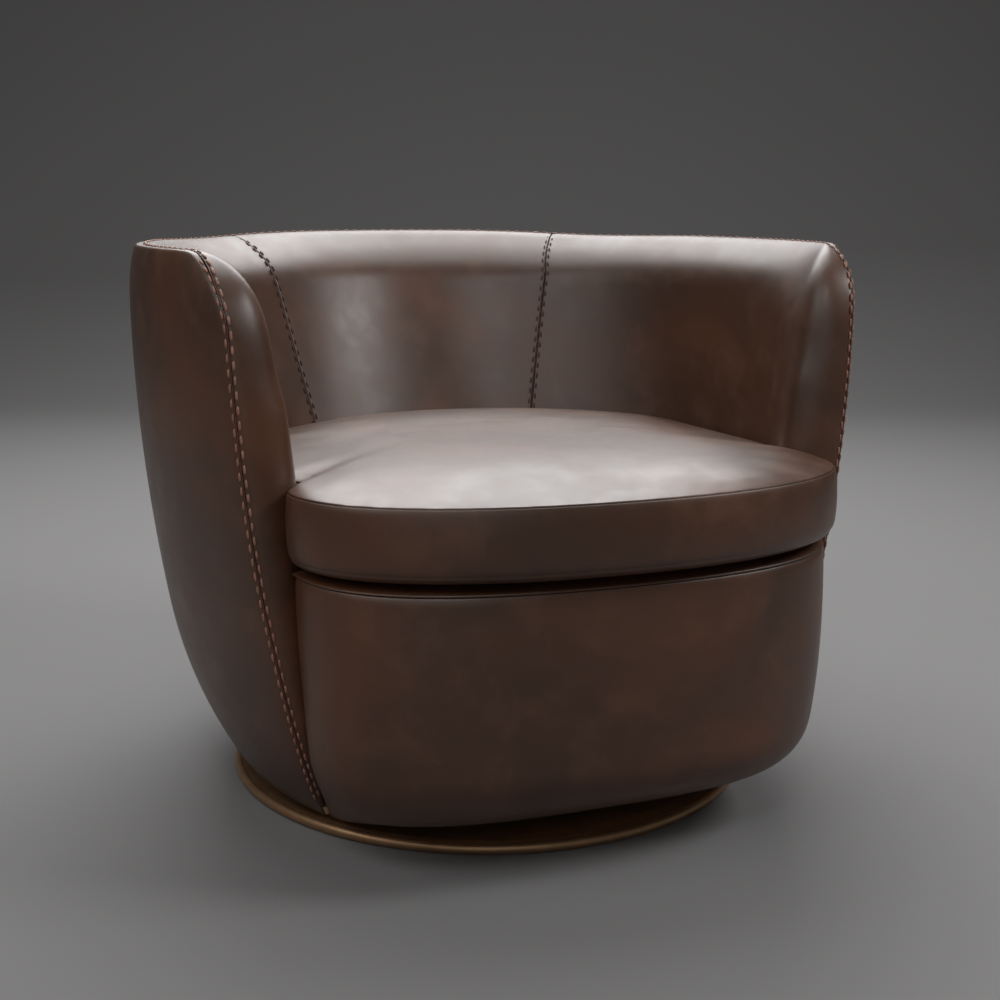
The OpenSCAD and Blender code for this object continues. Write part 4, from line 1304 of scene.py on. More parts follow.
    def back_panel(self) -> None:
        """Make the leather of the inner back, between the two inner seams."""
        shape = self.shape
        half = self.spaced(lambda v: shape.inner_points(v, 0 * v + 1.7), 2, 3, True, False)
        t = self.spaced(lambda v: shape.inner_points(0 * v + 2.6, v), 1, 3, False, True)
        grid_s, grid_t = np.meshgrid(half, t)
        right = shape.inner_points(grid_s, grid_t)
        normal = self.normals(right)
        edge_distance, ways = self.at_edge(right, grid_t, False)
        seam_distance = run_length(right, axis=1)
        right = self.edged(right, edge_distance, ways, Side.SECOND)
        right = self.dipped(right, seam_distance, -normal, FLAT_SEAM)
        right[:, -1, 0] = 0
        distance = np.minimum(edge_distance, seam_distance)
        panel = add_sheet("back_panel", joined(right * MIRROR, right), joined(distance, distance))
        upholster(self.wardrobe, panel, ["inner_leather_back", "arm_back_foam"])

    def outer_cover(self) -> None:
        """Make the leather round the outside, with its hem turned under."""
        shape = self.shape
        half = self.spaced(lambda v: shape.outer_points(v, 0 * v + 1.7), 0, 1, True, False, self.cover_step)
        t = self.spaced(lambda v: shape.outer_points(0 * v + 0.6, v), 0, 3, False, True, self.cover_step)
        grid_w, grid_t = np.meshgrid(half, t)
        right = shape.outer_points(grid_w, grid_t)
        distance, ways = self.at_edge(right, grid_t, True)
        right = self.edged(right, distance, ways, Side.FIRST)
        right[:, -1, 0] = 0
        foot = right[0]
        outwards = np.pad(unit(foot[:, :2]), ((0, 0), (0, 1)))
        right, distance = hemmed(right, distance, int(np.searchsorted(t, self.hem_top)), shape.body_z,
                                 lambda inset: foot - outwards * inset)
        cover = add_sheet("outer_cover", joined(right, right * MIRROR), joined(distance, distance))
        upholster(self.wardrobe, cover, ["outer_leather"])

    def shell(self) -> None:
        """Make the moulded plywood shell under the outer leather, its edges rounded clear of the seam."""
        shape = self.shape
        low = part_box("plywood_shell")[0][2]
        w = np.linspace(self.shell_front, 1, 60)
        t = np.linspace((low - shape.body_z) / (shape.well_floor - shape.body_z), self.shell_top, 60)
        grid_w, grid_t = np.meshgrid(w, t)
        right = shape.outer_points(grid_w, grid_t)
        right = right - shape.wall_normal(right) * self.shell_depth
        right[:, -1, 0] = 0
        obj = add_sheet("moulded_shell", joined(right, right * MIRROR))
        apply_modifier(obj, "SOLIDIFY", thickness=self.shell_thickness, offset=-1.0)
        apply_modifier(obj, "BEVEL", width=self.shell_bevel, segments=2, limit_method="ANGLE",
                       angle_limit=math.radians(50))
        shade(obj)
        self.wardrobe.dress(obj, PLYWOOD, "plywood")
        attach(obj, "tub")
        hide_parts("plywood_shell")
        LOG.info("%s: %d faces", obj.name, len(obj.data.polygons))

    def edge_line(self) -> SeamLine:
        """Outer seam: up one arm's front, round along the rim and down the other's."""
        shape = self.shape
        rise = np.linspace(0.02, 3, 260)
        run = np.linspace(0, 3, 300)[1:]
        s = np.concatenate([0 * rise, run])
        t = np.concatenate([rise, 0 * run + 3])
        right = shape.inner_points(s, t)
        right[-1, 0] = 0
        face = shape.face_normal(t)
        wall = shape.wall_normal(right)
        ways = self.edge_ways(right, t)
        points, faces, walls, inward, rolled = (
            np.concatenate([a, (a * MIRROR)[-2::-1]]) for a in (right, face, wall, ways[:, :3], ways[:, 3:6]))
        share = np.concatenate([ways[:, 6], ways[-2::-1, 6]])
        line = SeamLine(points, walls, faces, EDGE_SEAM)
        line.inward, line.rolled, line.share = inward, rolled, np.repeat(share[:, None], 3, axis=1)
        return line

    def edge_seam(self) -> None:
        """Sew the outer seam."""
        line = self.edge_line()
        stitches = sew_both_sides("edge_stitches", line, EDGE_STITCHES, self.edge_margin)
        self.wardrobe.dress(stitches, EDGE_THREAD)
        line.points = line.points + line.inward * EDGE_SEAM.fillet * line.share
        cord = lay_cord("edge_seam_cord", line, self.edge_cord, self.edge_cord_depth)
        set_attribute(cord, "seam", np.full(len(cord.data.vertices), 4 * MM))
        self.wardrobe.dress(cord, LEATHER, "leather")
        for obj in (stitches, cord):
            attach(obj, "tub")

    def inner_seams(self) -> None:
        """Sew the seams between the arms' leather and the back's."""
        shape = self.shape
        t = np.linspace(self.inner_foot, 3, 200)
        around = 0.02
        points = shape.inner_points(0 * t + 2, t)
        beside = shape.inner_points(0 * t + 2 + around, t) - shape.inner_points(0 * t + 2 - around, t)
        normal = unit(np.cross(np.gradient(points, axis=0), beside))
        depth = FLAT_SEAM.depth(np.array(0.0)) - self.inner_cord_rise
        for hand in Hand:
            line = SeamLine(points * hand.flip, normal * hand.flip, normal * hand.flip, FLAT_SEAM)
            stitches = sew_both_sides(f"inner_stitches_{hand.word}", line, INNER_STITCHES, self.inner_margin)
            # The inner stitches take the thread painted dark for the shade in the groove.
            self.wardrobe.dress(stitches, SHADED_THREAD)
            cord = lay_cord(f"inner_seam_shade_cord_{hand.word}", line, self.inner_cord, depth)
            # The nearly black cord is painted shade in the seam's groove.
            self.wardrobe.dress(cord, SEAM_SHADE_CORD, "leather")
            for obj in (stitches, cord):
                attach(obj, "tub")


# Front of the seat


@dataclass(frozen=True)
class PanelShape:
    """Outline of the front panel: half a superellipse in plan, tucked in at the foot."""

    tub: TubShape = field(default_factory=TubShape)
    height: float = 0.331
    reach: float = 0.425
    half_width: float = 0.317
    power: float = 2.55
    foot_power: float = 3.2
    front_draw: float = 0.001
    side_draw: float = 0.033
    foot_z: float = 0.131
    foot_round: float = 0.100
    foot_turn: float = 48.0
    front_tuck: float = 2.2
    side_tuck: float = 0.55
    edge_depth: float = 0.022
    seam_gap: float = 0.004
    end_gap: float = 0.3 * MM
    spread_start: float = 0.55
    seat_edge: float = 0.448
    seat_height: float = 0.345
    seat_pitch: float = 1.2

    def share(self, z: np.ndarray) -> np.ndarray:
        """How far a height lies below the top, as a share of the panel's height."""
        return (self.height - z) / (self.height - self.tub.body_z)

    def foot(self, z: np.ndarray) -> np.ndarray:
        """Depth of the foot's tuck: a round that goes on as a straight slope."""
        turn = math.radians(self.foot_turn)
        below = self.foot_z - z
        bend = self.foot_round * math.sin(turn)
        curve = self.foot_round - np.sqrt(np.maximum(self.foot_round**2 - np.clip(below, 0, bend) ** 2, 0))
        return np.where(below <= 0, 0.0, np.where(
            below < bend, curve, self.foot_round * (1 - math.cos(turn)) + (below - bend) * math.tan(turn)))

    def points(self, a: np.ndarray, z: np.ndarray, off: np.ndarray | float = 0.0) -> np.ndarray:
        """Points of the panel's face.

        Args:
            a: Place along the plan, from -1 at the left end to 1 at the right end.
            z: Height.
            off: Depth inside the face.

        Returns:
            Array of points.
        """
        a, z = np.broadcast_arrays(np.asarray(a, float), np.asarray(z, float))
        share, foot = self.share(z), self.foot(z)
        power = self.power + (self.foot_power - self.power) * share
        base = self.tub.arm_front_y(z) + self.edge_depth
        wall = self.tub.wall_x(self.tub.arm_front_y(z), z)
        width = np.minimum(wall, self.half_width - self.side_draw * share**2 - self.side_tuck * foot) - off
        depth = self.reach - self.front_draw * share**2 - self.front_tuck * foot + base - off
        last = np.arccos(((self.edge_depth + self.end_gap) / depth) ** (power / 2))
        turn = last * a
        spread = np.maximum(0, wall - off - self.seam_gap - width)
        low = ease((self.foot_z - z) / (self.foot_z - self.tub.body_z))
        width = width + spread * low * ease((np.abs(a) - self.spread_start) / (1 - self.spread_start))
        x = width * np.sign(turn) * np.abs(np.sin(turn)) ** (2 / power)
        return np.stack([x, base - depth * np.cos(turn) ** (2 / power), z], axis=-1)

    def seat_fall(self, y: np.ndarray) -> np.ndarray:
        """How far the deck lies under its front edge."""
        return (y + self.seat_edge) * math.tan(math.radians(self.seat_pitch))


@dataclass
class SeatFront:
    """Front panel, the lip over the deck's edge, and the deck's cloth."""

    wardrobe: Wardrobe
    shape: PanelShape = field(default_factory=PanelShape)
    step: float = 12 * MM
    # Heights at which the columns of the panel and of the lip are spaced evenly.
    panel_z: float = 0.24
    lip_z: float = 0.32
    hem_height: float = 8 * MM
    side_seam: SeamShape = SeamShape(fillet=3.4 * MM, fillet_width=0.016, groove=0.8 * MM)
    top_seam: SeamShape = SeamShape(fillet=2.2 * MM, fillet_width=0.010, groove=0.9 * MM)
    # The lip: how far it reaches and slopes, the round at its seam, and the share that it rises there.
    lip_width: float = 0.078
    lip_slope: float = 0.044
    lip_edge: float = 1.2 * MM
    lip_step: float = 0.2
    # How far the lip lies under the deck's face, and its rows next to the seam in millimetres.
    lip_sink: float = 0.3 * MM
    lip_rows: tuple[float, ...] = (0.0, 0.3, 0.8, 1.6, 3.0, 5.5, 9.0, 14.0, 21.0, 32.0)
    lip_seam: SeamShape = SeamShape(groove=0.8 * MM, valley=0.2 * MM)
    # The deck's cloth: height at which it follows the well, its clearances there and at the lip, how
    # far it lies under the deck's face, its thickness, and how many columns and rows it has.
    cloth_z: float = 0.310
    cloth_gap: float = 1.5 * MM
    cloth_lip_gap: float = 0.6 * MM
    cloth_depth: float = 0.4 * MM
    cloth_thickness: float = 1.2 * MM
    cloth_grid: tuple[int, int] = (61, 41)

    def build(self) -> None:
        """Make every piece."""
        self.panel()
        self.lip()
        self.deck_cover()

    def columns(self, z: float) -> np.ndarray:
        """Space columns evenly along the panel and close together at its ends."""
        dense = np.linspace(-1, 1, 1200)
        length = run_length(self.shape.points(dense, 0 * dense + z))
        return np.interp(graded(length[-1], self.step, True, True), length, dense)

    def panel(self) -> None:
        """Make the front panel, pillowed towards its seams, with its hem turned under."""
        shape = self.shape
        a = self.columns(self.panel_z)
        height = shape.height - shape.tub.body_z
        z = shape.tub.body_z + graded(height, self.step, False, True)
        grid_a, grid_z = np.meshgrid(a, z)
        surface = shape.points(grid_a, grid_z)
        normal = unit(np.cross(np.gradient(surface, axis=1), np.gradient(surface, axis=0)))
        from_top = np.broadcast_to((shape.height - z)[:, None], grid_a.shape)
        from_left = run_length(surface, axis=1)
        from_side = np.minimum(from_left, from_left[:, -1:] - from_left)
        press = self.side_seam.depth(from_side) + self.top_seam.depth(from_top)
        surface = surface - normal * press[..., None]
        floor = shape.tub.body_z
        surface, distance = hemmed(surface, np.minimum(from_top, from_side),
                                   int(np.searchsorted(z, floor + self.hem_height)), floor,
                                   lambda inset: shape.points(a, floor, inset))
        upholster(self.wardrobe, add_sheet("front_panel", surface, distance), ["front_leather", "front_foam"])

    def lip(self) -> None:
        """Make the leather strip that turns from the panel's top seam over the edge of the deck."""
        shape = self.shape
        a = self.columns(self.lip_z)
        offs = np.concatenate([np.array(self.lip_rows) * MM, np.linspace(self.lip_slope, self.lip_width, 4)])
        share = (self.lip_step * (1 - np.exp(-offs / self.lip_edge))
                 + (1 - self.lip_step) * np.clip(offs / self.lip_slope, 0, 1))
        rows = []
        for off, rise in zip(offs, share):
            row = shape.points(a, 0 * a + shape.height, off)
            top = shape.seat_height - self.lip_sink - shape.seat_fall(row[:, 1])
            row[:, 2] = shape.height + (top - shape.height) * rise
            rows.append(row)
        surface = np.array(rows)
        start = run_length(surface, axis=0)
        surface[..., 1] += self.lip_seam.depth(start)
        # Its distance from the seam gives the lip the leather's painted seam shade.
        upholster(self.wardrobe, add_sheet("deck_lip", surface, start), ["deck_lip_leather"])

    def deck_cover(self) -> None:
        """Stretch the cloth over the deck, inside the lip and the seat well."""
        shape = self.shape
        tub = shape.tub
        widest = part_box("deck_cloth")[1][0]
        half = tub.well_half_width(self.cloth_z) - self.cloth_gap
        deep = tub.well_half_depth(self.cloth_z) - self.cloth_gap
        front = shape.points(np.linspace(-1, 1, 1500), shape.height, self.lip_width + self.cloth_lip_gap)
        columns, layers = self.cloth_grid
        x = np.linspace(-1, 1, columns) * min(half * 0.999, widest)
        rows = []
        for share in np.linspace(0, 1, layers):
            back = -tub.well_shift + deep * np.sqrt(np.maximum(0, 1 - (x / half) ** 2))
            start = np.interp(x, front[:, 0], front[:, 1])
            side = -tub.well_shift - half * np.sqrt(np.maximum(0, 1 - (x / half) ** 2))
            start = np.where(np.abs(x) > front[-1, 0], side, np.maximum(start, side))
            y = start + (back - start) * share
            top = shape.seat_height - self.cloth_depth - shape.seat_fall(y)
            rows.append(np.stack([x, y, top], axis=-1))
        surface = np.array(rows)
        obj = add_sheet("deck_cover", surface)
        apply_modifier(obj, "SOLIDIFY", thickness=self.cloth_thickness, offset=-1.0)
        shade(obj)
        self.wardrobe.dress(obj, BLACK_CLOTH, "black_cloth")
        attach(obj, "tub")
        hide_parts("deck_cloth", "deck_foam")
        LOG.info("%s: %d faces", obj.name, len(obj.data.polygons))


# Seat cushion


@dataclass
class SeatCushion:
    """Loose seat cushion with a crowned top, rounded sides and ears in front of the arms.

    The cover is sewn from a top, a band round the side and an underside. The band bulges between
    its two seams.
    """

    wardrobe: Wardrobe
    shape: PanelShape = field(default_factory=PanelShape)
    # The plan: a superellipse in front, an ear at each end of it, and the well's line behind.
    reach: float = 0.448
    half_width: float = 0.325
    power: float = 2.2
    ear: float = 0.264
    # Insets and setbacks, in millimetres, of the points that round the ear towards the arm.
    ear_points: tuple = ((2.6, 6.0), (6.2, 12.0))
    ear_clear: float = 9 * MM
    gap: float = 0.002
    centre_y: float = -0.060
    # The side: its height, its insets in millimetres by their share of it, and the place of the low seam.
    side_height: float = 0.080
    side_insets: tuple = ((0.0, 18.0), (0.06, 8.0), (0.19, 2.0), (0.48, 0.0), (0.78, 0.6), (0.93, 2.0),
                          (1.0, 4.0))
    low_seam_share: float = 0.13
    # The top: its crown, how far its seam is drawn in, and the rings beside that seam in millimetres.
    crown: float = 0.027
    crown_power: float = 0.7
    crown_reach: float = 0.36
    top_draw: float = 0.004
    top_rings: tuple[float, ...] = (0.7, 1.5, 3.0, 6.0, 11.0, 20.0)
    rim_points: int = 208
    # The swell: frames that the cloth settles for, its pressure and the most that a point may move.
    settle_frames: int = 18
    pressure: float = 3.0
    cap: float = 0.005
    held_share: float = 0.2
    # Beside the arms the cover stays still: how far past the ears that starts and its fade, and from
    # which share of the way out, with the fade of that.
    still_past_ear: float = 0.020
    still_fade: float = 0.030
    still_share: float = 0.75
    still_share_fade: float = 0.2
    # The seams: depth of the top one, beside and above, and of the low one, with their widths.
    top_press: float = 1.125 * MM
    top_press_down: float = 1.2 * MM
    top_press_width: float = 0.9 * MM
    low_press: float = 0.525 * MM
    low_press_width: float = 1.6 * MM
    # The zip: the middle of its tape as a share of the side, half of the arc that it takes, in degrees, the
    # heights of the tape's rows in millimetres, how far they stand off, and the tape's width and thickness.
    zip_share: float = 0.48
    zip_turn: float = 43.5
    tape_rows: tuple[float, ...] = (-12.0, -11.0, -4.0, 0.0, 4.0, 11.0, 12.0)
    tape_lift: float = 1.1 * MM
    tape_edge_lift: float = 0.4 * MM
    tape_width: float = 0.0242
    tape_thickness: float = 0.9 * MM

    def build(self) -> None:
        """Make every piece."""
        cover = self.cover()
        self.zip()
        LOG.info("%s: %d faces", cover.name, len(cover.data.polygons))

    def well_sizes(self, z: float) -> tuple[float, float]:
        """Half width and depth that the well leaves for the cushion at a height."""
        tub = self.shape.tub
        fall = float(self.shape.seat_fall(np.array(0.0)))
        fall_back = float(self.shape.seat_fall(np.array(tub.well_radius)))
        return (float(tub.well_half_width(self.shape.seat_height - fall)) - self.gap,
                float(tub.well_half_depth(z - fall_back)) - self.gap)

    def well_edge(self, z: float) -> np.ndarray:
        """Line that keeps the cushion's clearance to the arm and the back, from the ear to the middle.

        Args:
            z: Height before the seat is tilted.

        Returns:
            Points in plan.
        """
        tub = self.shape.tub
        s = np.linspace(0.3, 3, 500)
        points = tub.inner_points(s, 0 * s + 1.5)
        for _ in range(3):
            start = tub.height - tub.roll_height(points[:, 1]) - tub.rim_drop(points[:, 1])
            height = z - self.shape.seat_fall(points[:, 1])
            points = tub.inner_points(s, 1 + (height - tub.well_floor) / (start - tub.well_floor))
        flat = points[:, :2]
        along = unit(np.gradient(flat, axis=0))
        inner = flat + np.stack([-along[:, 1], along[:, 0]], axis=-1) * self.gap
        inner[-1, 0] = 0
        return inner[(inner[:, 0] < self.half_width - self.ear_clear) & (inner[:, 0] >= 0)]

    def plan(self, z: float) -> np.ndarray:
        """Outline of the cushion at a height, as evenly spaced points.

        Args:
            z: Height before the seat is tilted.

        Returns:
            Points in plan, anticlockwise from the middle of the front.
        """
        turn = np.linspace(0, np.pi / 2, 400)
        front = np.stack([self.half_width * np.sin(turn) ** (2 / self.power),
                          -self.ear - (self.reach - self.ear) * np.cos(turn) ** (2 / self.power)], axis=-1)
        ear = np.array([self.half_width, -self.ear]) + np.array(self.ear_points) * MM * np.array([-1.0, 1.0])
        right = np.concatenate([front, ear, self.well_edge(z)])
        whole = np.concatenate([right, (right * MIRROR[:2])[-2::-1]])
        length = run_length(whole)
        where = np.linspace(0, length[-1], self.rim_points + 1)[:-1]
        return np.stack([np.interp(where, length, whole[:, k]) for k in (0, 1)], axis=-1)

    def ring(self, inset: float, z: float) -> np.ndarray:
        """One ring of the cover before it is tilted, drawn in towards the centre by an inset."""
        centre = np.array([0.0, self.centre_y])
        out = self.plan(z) - centre
        flat = centre + out * (1 - inset / np.linalg.norm(out, axis=-1, keepdims=True))
        return np.concatenate([flat, np.full((len(flat), 1), z)], axis=-1)

    def tilt(self, points: np.ndarray) -> np.ndarray:
        """Tilt level points by the seat's pitch about the cushion's front edge."""
        turn = math.radians(self.shape.seat_pitch)
        y = points[..., 1] + self.shape.seat_edge
        z = points[..., 2] - self.shape.seat_height
        return np.stack([points[..., 0],
                         y * math.cos(turn) + z * math.sin(turn) - self.shape.seat_edge,
                         z * math.cos(turn) - y * math.sin(turn) + self.shape.seat_height], axis=-1)

    def side_profile(self) -> tuple[np.ndarray, np.ndarray]:
        """Insets and height shares of the rings up the side."""
        seam = self.low_seam_share
        share = np.array([0.0, 0.03, 0.075, seam - 0.02, seam, seam + 0.02, 0.22, 0.32, 0.43, 0.54, 0.65,
                          0.76, 0.86, 0.93, 0.965, 0.982, 0.992, 1.0])
        return np.interp(share, *zip(*self.side_insets)) * MM, share

    def draw_up(self, obj: bpy.types.Object, ring: np.ndarray, order: np.ndarray) -> np.ndarray:
        """Extrude the cover's last ring of edges to the next ring.

        Args:
            obj: Cover so far.
            ring: Points of the next ring.
            order: Place in its ring of each of the last vertices.

        Returns:
            Place in its ring of each of the new vertices.
        """
        take(obj)
        bpy.ops.object.mode_set(mode="EDIT")
        bpy.ops.mesh.select_mode(type="VERT")
        bpy.ops.mesh.select_all(action="DESELECT")
        bpy.ops.object.mode_set(mode="OBJECT")
        count = len(obj.data.vertices)
        selected = np.arange(count) >= count - self.rim_points
        obj.data.vertices.foreach_set("select", selected)
        for edge in obj.data.edges:
            edge.select = all(selected[v] for v in edge.vertices)
        bpy.ops.object.mode_set(mode="EDIT")
        bpy.ops.mesh.extrude_edges_move()
        bpy.ops.object.mode_set(mode="OBJECT")
        points = get_points(obj)
        last = points[count - self.rim_points:count]
        order = order[[np.argmin(((last - p) ** 2).sum(axis=-1)) for p in points[count:]]]
        points[count:] = ring[order]
        set_points(obj, points)
        return order

    def cover(self) -> bpy.types.Object:
        """Make the leather cover from an outline that is drawn up the side and filled.

        Returns:
            The cover.
        """
        inset, share = self.side_profile()
        base = self.shape.seat_height
        deselect_all()
        bpy.ops.mesh.primitive_circle_add(vertices=self.rim_points, radius=1)
        obj = named("seat_cushion")
        flat = get_points(obj)
        order = np.rint((np.arctan2(flat[:, 0], -flat[:, 1]) % (2 * np.pi)) / (2 * np.pi) * self.rim_points)
        order = order.astype(int) % self.rim_points
        rings = [self.ring(i, base + s * self.side_height) for i, s in zip(inset, share)]
        rings += [self.ring(self.top_draw + i * MM, base + self.side_height) for i in self.top_rings]
        set_points(obj, rings[0][order])
        for ring in rings[1:]:
            order = self.draw_up(obj, ring, order)
        low, high = base + NEAR, base + self.side_height - NEAR
        fill_opening(obj, lambda co: co.z < low, self.rim_points // 4)
        fill_opening(obj, lambda co: co.z > high, self.rim_points // 4)
        face_outwards(obj)
        set_points(obj, self.crowned(get_points(obj)))
        self.swell(obj)
        apply_modifier(obj, "SUBSURF", levels=1, render_levels=1)
        self.press_seams(obj)
        set_points(obj, self.tilt(get_points(obj)))
        shade(obj, 75)
        self.wardrobe.dress(obj, LEATHER, "leather")
        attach(obj, "cushion")
        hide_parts("cushion_cover", "cushion_foam")
        return obj

    def top_share(self, points: np.ndarray) -> np.ndarray:
        """How far points lie from the cushion's centre, as a share of the top seam's distance."""
        ring = self.ring(self.top_draw, self.shape.seat_height + self.side_height)
        centre = np.array([0.0, self.centre_y])
        angle = np.arctan2(ring[:, 0], -(ring[:, 1] - self.centre_y)) % (2 * np.pi)
        radius = np.linalg.norm(ring[:, :2] - centre, axis=-1)
        order = np.argsort(angle)
        out = points[..., :2] - centre
        own = np.arctan2(out[..., 0], -out[..., 1]) % (2 * np.pi)
        return np.linalg.norm(out, axis=-1) / np.interp(own, angle[order], radius[order], period=2 * np.pi)

    def crowned(self, points: np.ndarray) -> np.ndarray:
        """Raise the filled top to its crown."""
        top = self.shape.seat_height + self.side_height
        share = np.clip(self.top_share(points), 0, 1)
        rise = self.crown * np.power(np.maximum(0, 1 - share**3), self.crown_power)
        points = points.copy()
        points[:, 2] = np.where(points[:, 2] > top - NEAR, top + rise, points[:, 2])
        return points

    def swell(self, obj: bpy.types.Object) -> None:
        """Let the cover swell as cloth between its seams, and keep each move under the cap.

        Args:
            obj: Cover before its last subdivision.
        """
        start = get_points(obj)
        base = self.shape.seat_height
        top = base + self.side_height
        pinned = start[:, 2] < base + self.held_share * self.side_height
        pinned |= np.abs(start[:, 2] - top) < 10 * NEAR
        group = obj.vertex_groups.new(name="held")
        group.add(np.flatnonzero(pinned).tolist(), 1.0, "REPLACE")
        cloth = obj.modifiers.new("Cloth", "CLOTH")
        for key, value in {"quality": 6, "mass": 0.4, "tension_stiffness": 20, "compression_stiffness": 20,
                           "bending_stiffness": 2.0, "vertex_group_mass": "held", "use_pressure": True,
                           "uniform_pressure_force": self.pressure}.items():
            setattr(cloth.settings, key, value)
        cloth.settings.effector_weights.gravity = 0
        cloth.collision_settings.use_collision = False
        scene = bpy.context.scene
        for frame in range(1, self.settle_frames + 1):
            scene.frame_set(frame)
        graph = bpy.context.evaluated_depsgraph_get()
        evaluated = obj.evaluated_get(graph).to_mesh()
        flat = np.empty(3 * len(evaluated.vertices))
        evaluated.vertices.foreach_get("co", flat)
        moved = flat.reshape(-1, 3) - start
        obj.evaluated_get(graph).to_mesh_clear()
        obj.modifiers.remove(cloth)
        scene.frame_set(1)
        beside_arms = ease((start[:, 1:2] + self.ear + self.still_past_ear) / self.still_fade)
        outside = (self.top_share(start)[:, None] - self.still_share) / self.still_share_fade
        moved *= 1 - beside_arms * ease(outside)
        length = np.linalg.norm(moved, axis=-1, keepdims=True)
        moved *= self.cap * np.tanh(length / self.cap) / np.maximum(length, 1e-9)
        set_points(obj, start + moved)
        obj.vertex_groups.clear()
        LOG.info("swell: at most %.1f mm before the cap", float(length.max()) / MM)

    def press_seams(self, obj: bpy.types.Object) -> None:
        """Press the two seams in and mark the distance from them.

        Args:
            obj: Cover, still level.
        """
        points = get_points(obj)
        base = self.shape.seat_height
        top = base + self.side_height
        share = self.top_share(points)
        from_top = np.where(points[:, 2] < top - 4 * MM, top - points[:, 2],
                            np.hypot((1 - np.minimum(share, 1)) * self.crown_reach,
                                     np.maximum(0, top - points[:, 2])))
        low = base + self.low_seam_share * self.side_height
        from_low = np.abs(points[:, 2] - low)
        centre = np.array([0.0, self.centre_y])
        out = points[:, :2] - centre
        out = out / np.maximum(np.linalg.norm(out, axis=-1, keepdims=True), 1e-9)
        at_top = np.exp(-((from_top / self.top_press_width) ** 2))
        at_low = np.exp(-((from_low / self.low_press_width) ** 2))
        points[:, :2] -= out * (self.top_press * at_top + self.low_press * at_low)[:, None]
        points[:, 2] -= self.top_press_down * at_top
        set_points(obj, points)
        # The distance, scaled by 1.6, narrows the painted seam shade that the leather draws from it.
        set_attribute(obj, "seam", np.minimum(from_top, from_low + 1 * MM) * 1.6)

    def zip(self) -> None:
        """Sew the zip's tape over the back of the band, under the slider of the frame."""
        base = self.shape.seat_height + self.zip_share * self.side_height
        half = self.well_sizes(base)[0]
        turn = np.radians(np.linspace(90 + self.zip_turn, 90 - self.zip_turn, 70))
        tape = []
        for rise in self.tape_rows:
            deep = self.well_sizes(base + rise * MM)[1]
            lift = self.tape_edge_lift if abs(rise) == self.tape_rows[-1] else self.tape_lift
            tape.append(np.stack([-(half + lift) * np.cos(turn),
                                  -self.shape.tub.well_shift + (deep + lift) * np.sin(turn),
                                  0 * turn + base + rise * MM], axis=-1))
        surface = self.tilt(np.array(tape))
        obj = add_sheet("cushion_zip_tape", surface[:, ::-1])
        apply_modifier(obj, "SOLIDIFY", thickness=self.tape_thickness, offset=-1.0)
        face_outwards(obj)
        shade(obj)
        self.wardrobe.dress(obj, BLACK_CLOTH, "black_cloth")
        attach(obj, "cushion")
        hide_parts("cushion_zip")


# Studio


@dataclass(frozen=True)
class SoftLight:
    """A rectangular soft light.

    Attributes:
        place: Where it hangs.
        aim: Height over the floor's middle that it looks at.
        size: Its width and height.
        power: Its power in watts.
    """

    place: tuple[float, float, float]
    aim: float
    size: tuple[float, float]
    power: float

    def hang(self) -> None:
        """Add the light to the scene."""
        deselect_all()
        bpy.ops.object.light_add(type="AREA", location=self.place)
        light = bpy.context.object
        light.data.shape = "RECTANGLE"
        light.data.size, light.data.size_y = self.size
        light.data.energy = self.power
        towards = Vector((0.0, 0.0, self.aim)) - Vector(self.place)
        light.rotation_euler = towards.to_track_quat("-Z", "Y").to_euler()


# Two large lights behind and above give the sheen, and four weaker ones fill the front and the sides.
LIGHTS = (SoftLight((0.7, 2.3, 2.5), 0.45, (2.8, 1.6), 72.0),
          SoftLight((0.1, 1.0, 3.0), 0.45, (2.6, 1.8), 46.0),
          SoftLight((1.9, -1.3, 2.2), 0.5, (0.9, 0.9), 32.0),
          SoftLight((-2.4, -1.0, 2.4), 0.5, (2.4, 1.8), 24.0),
          SoftLight((-0.95, -2.3, 2.7), 0.5, (0.7, 0.7), 13.0),
          SoftLight((-1.2, -2.9, 1.4), 0.3, (2.2, 2.0), 6.0))


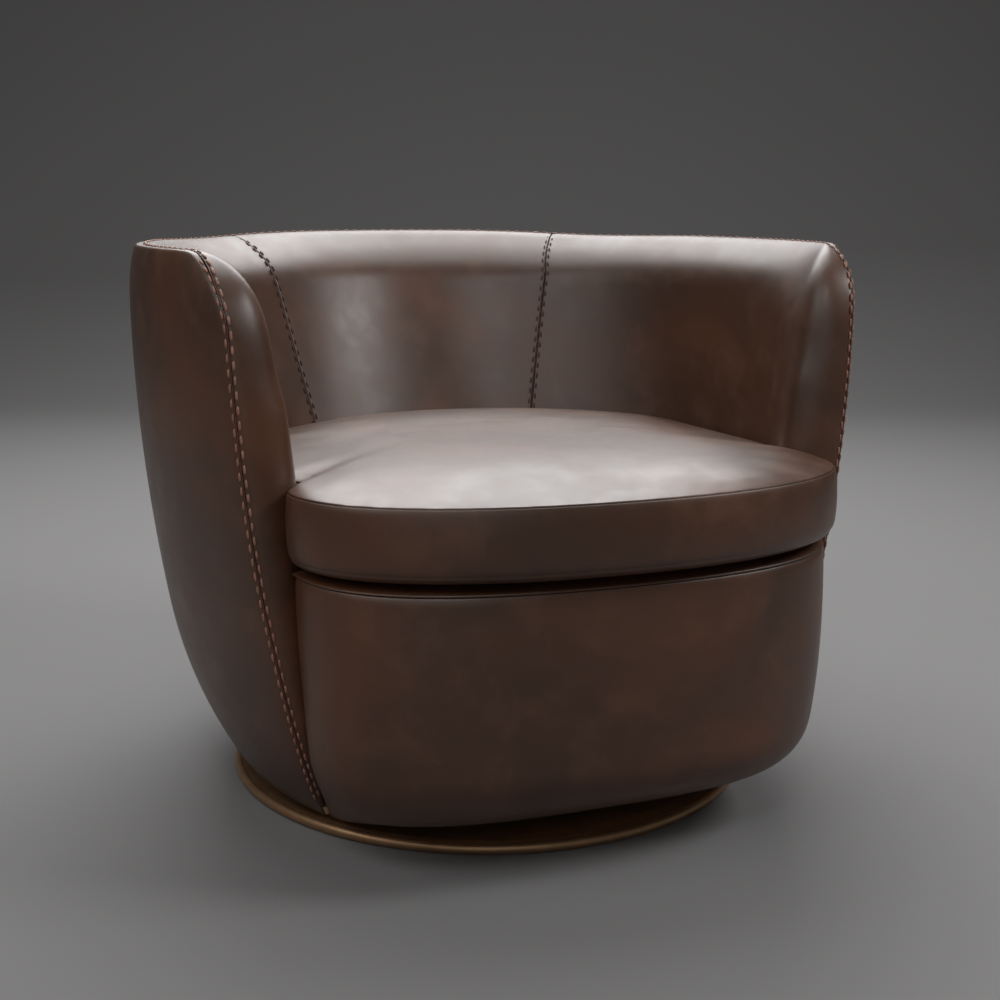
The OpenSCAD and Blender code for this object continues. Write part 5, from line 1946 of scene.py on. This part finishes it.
@dataclass
class Studio:
    """Floor, backdrop, lights and the camera that took the picture."""

    # The camera: its place round the chair, the way that it looks, and its focal length in pixels.
    distance: float = 1.87666
    azimuth: float = 20.45
    height: float = 0.72659
    pitch: float = 11.63
    yaw: float = 0.504
    roll: float = 0.162
    focal: float = 1481.88
    picture: float = 1000.0
    sensor: float = 36.0
    # The sweep of paper: its start, length and half width, where it bends up, and the bend's radius.
    sweep_start: float = -4.5
    sweep_length: float = 10.5
    sweep_half_width: float = 9.0
    sweep_flat: float = 3.2
    sweep_bend: float = 1.2
    sweep_drop: float = 0.2 * MM
    paper: str = "#7d7c7c"
    paper_roughness: float = 0.85
    # The world's own light.
    sky: str = "#d6d2cf"
    sky_strength: float = 0.16

    def build(self) -> None:
        """Set everything round the chair."""
        self.camera()
        self.floor()
        self.lights()
        bpy.context.scene.view_settings.view_transform = "Standard"

    def camera(self) -> None:
        """Place the camera at the picture's viewing angle."""
        a = math.radians(self.azimuth)
        turn = math.radians(self.azimuth + self.yaw)
        dip = math.radians(self.pitch)
        tip = math.radians(self.roll)
        place = Vector((-self.distance * math.sin(a), -self.distance * math.cos(a), self.height))
        forward = Vector((math.sin(turn) * math.cos(dip), math.cos(turn) * math.cos(dip), -math.sin(dip)))
        right = Vector((math.cos(turn), -math.sin(turn), 0))
        up = right.cross(forward)
        right, up = (right * math.cos(tip) + up * math.sin(tip), up * math.cos(tip) - right * math.sin(tip))
        deselect_all()
        bpy.ops.object.camera_add(location=place)
        camera = bpy.context.object
        axes = Matrix((right, up, -forward)).transposed().to_4x4()
        camera.matrix_world = Matrix.Translation(place) @ axes
        camera.data.sensor_width = self.sensor
        camera.data.lens = self.focal / self.picture * self.sensor
        bpy.context.scene.camera = camera

    def floor(self) -> None:
        """Lay a pale floor that rises into a backdrop, as one sweep of paper."""
        deselect_all()
        bpy.ops.mesh.primitive_grid_add(x_subdivisions=2, y_subdivisions=60, size=2)
        sweep = named("floor")
        points = get_points(sweep)
        flat, bend = self.sweep_flat, self.sweep_bend
        run = (points[:, 1] + 1) / 2 * self.sweep_length + self.sweep_start
        past = np.clip(run - flat, 0, bend * np.pi / 2)
        rise = np.maximum(0, run - flat - bend * np.pi / 2)
        y = np.minimum(run, flat) + bend * np.sin(past / bend)
        z = bend * (1 - np.cos(past / bend)) + rise
        turned = Matrix.Rotation(-math.radians(self.azimuth), 3, "Z")
        level = np.stack([points[:, 0] * self.sweep_half_width, y, z - self.sweep_drop], axis=-1)
        set_points(sweep, level @ np.array(turned).T)
        shade(sweep)
        material, shader = new_material("backdrop_paper")
        shader.inputs["Base Color"].default_value = linear(self.paper)
        shader.inputs["Roughness"].default_value = self.paper_roughness
        sweep.data.materials.append(material)

    def lights(self) -> None:
        """Hang the soft lights and light the world evenly."""
        world = bpy.data.worlds.new("studio")
        bpy.context.scene.world = world
        world.use_nodes = True
        background = world.node_tree.nodes["Background"]
        background.inputs["Color"].default_value = linear(self.sky)
        background.inputs["Strength"].default_value = self.sky_strength
        for light in LIGHTS:
            light.hang()


def dress_frame(wardrobe: Wardrobe, record: dict, nodes: dict[str, bpy.types.Object]) -> None:
    """Give the CAD nodes that stay their finishes.

    Args:
        wardrobe: Materials.
        record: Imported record.
        nodes: CAD objects by name.
    """
    for part in record["subparts"]:
        finish = FINISH_OF_SLOT.get(part["material_slot"], LEATHER)
        obj = nodes[part["node"]]
        obj.data.materials.clear()
        obj.data.materials.append(wardrobe.get(finish))


def main() -> None:
    """Build the whole picture."""
    logging.basicConfig(level=logging.INFO, format="%(name)s: %(message)s")
    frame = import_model()
    Studio().build()
    wardrobe = Wardrobe()
    dress_frame(wardrobe, frame["record"], frame["nodes"])
    Tub(wardrobe).build()
    SeatFront(wardrobe).build()
    SeatCushion(wardrobe).build()


if __name__ == "__main__":
    main()
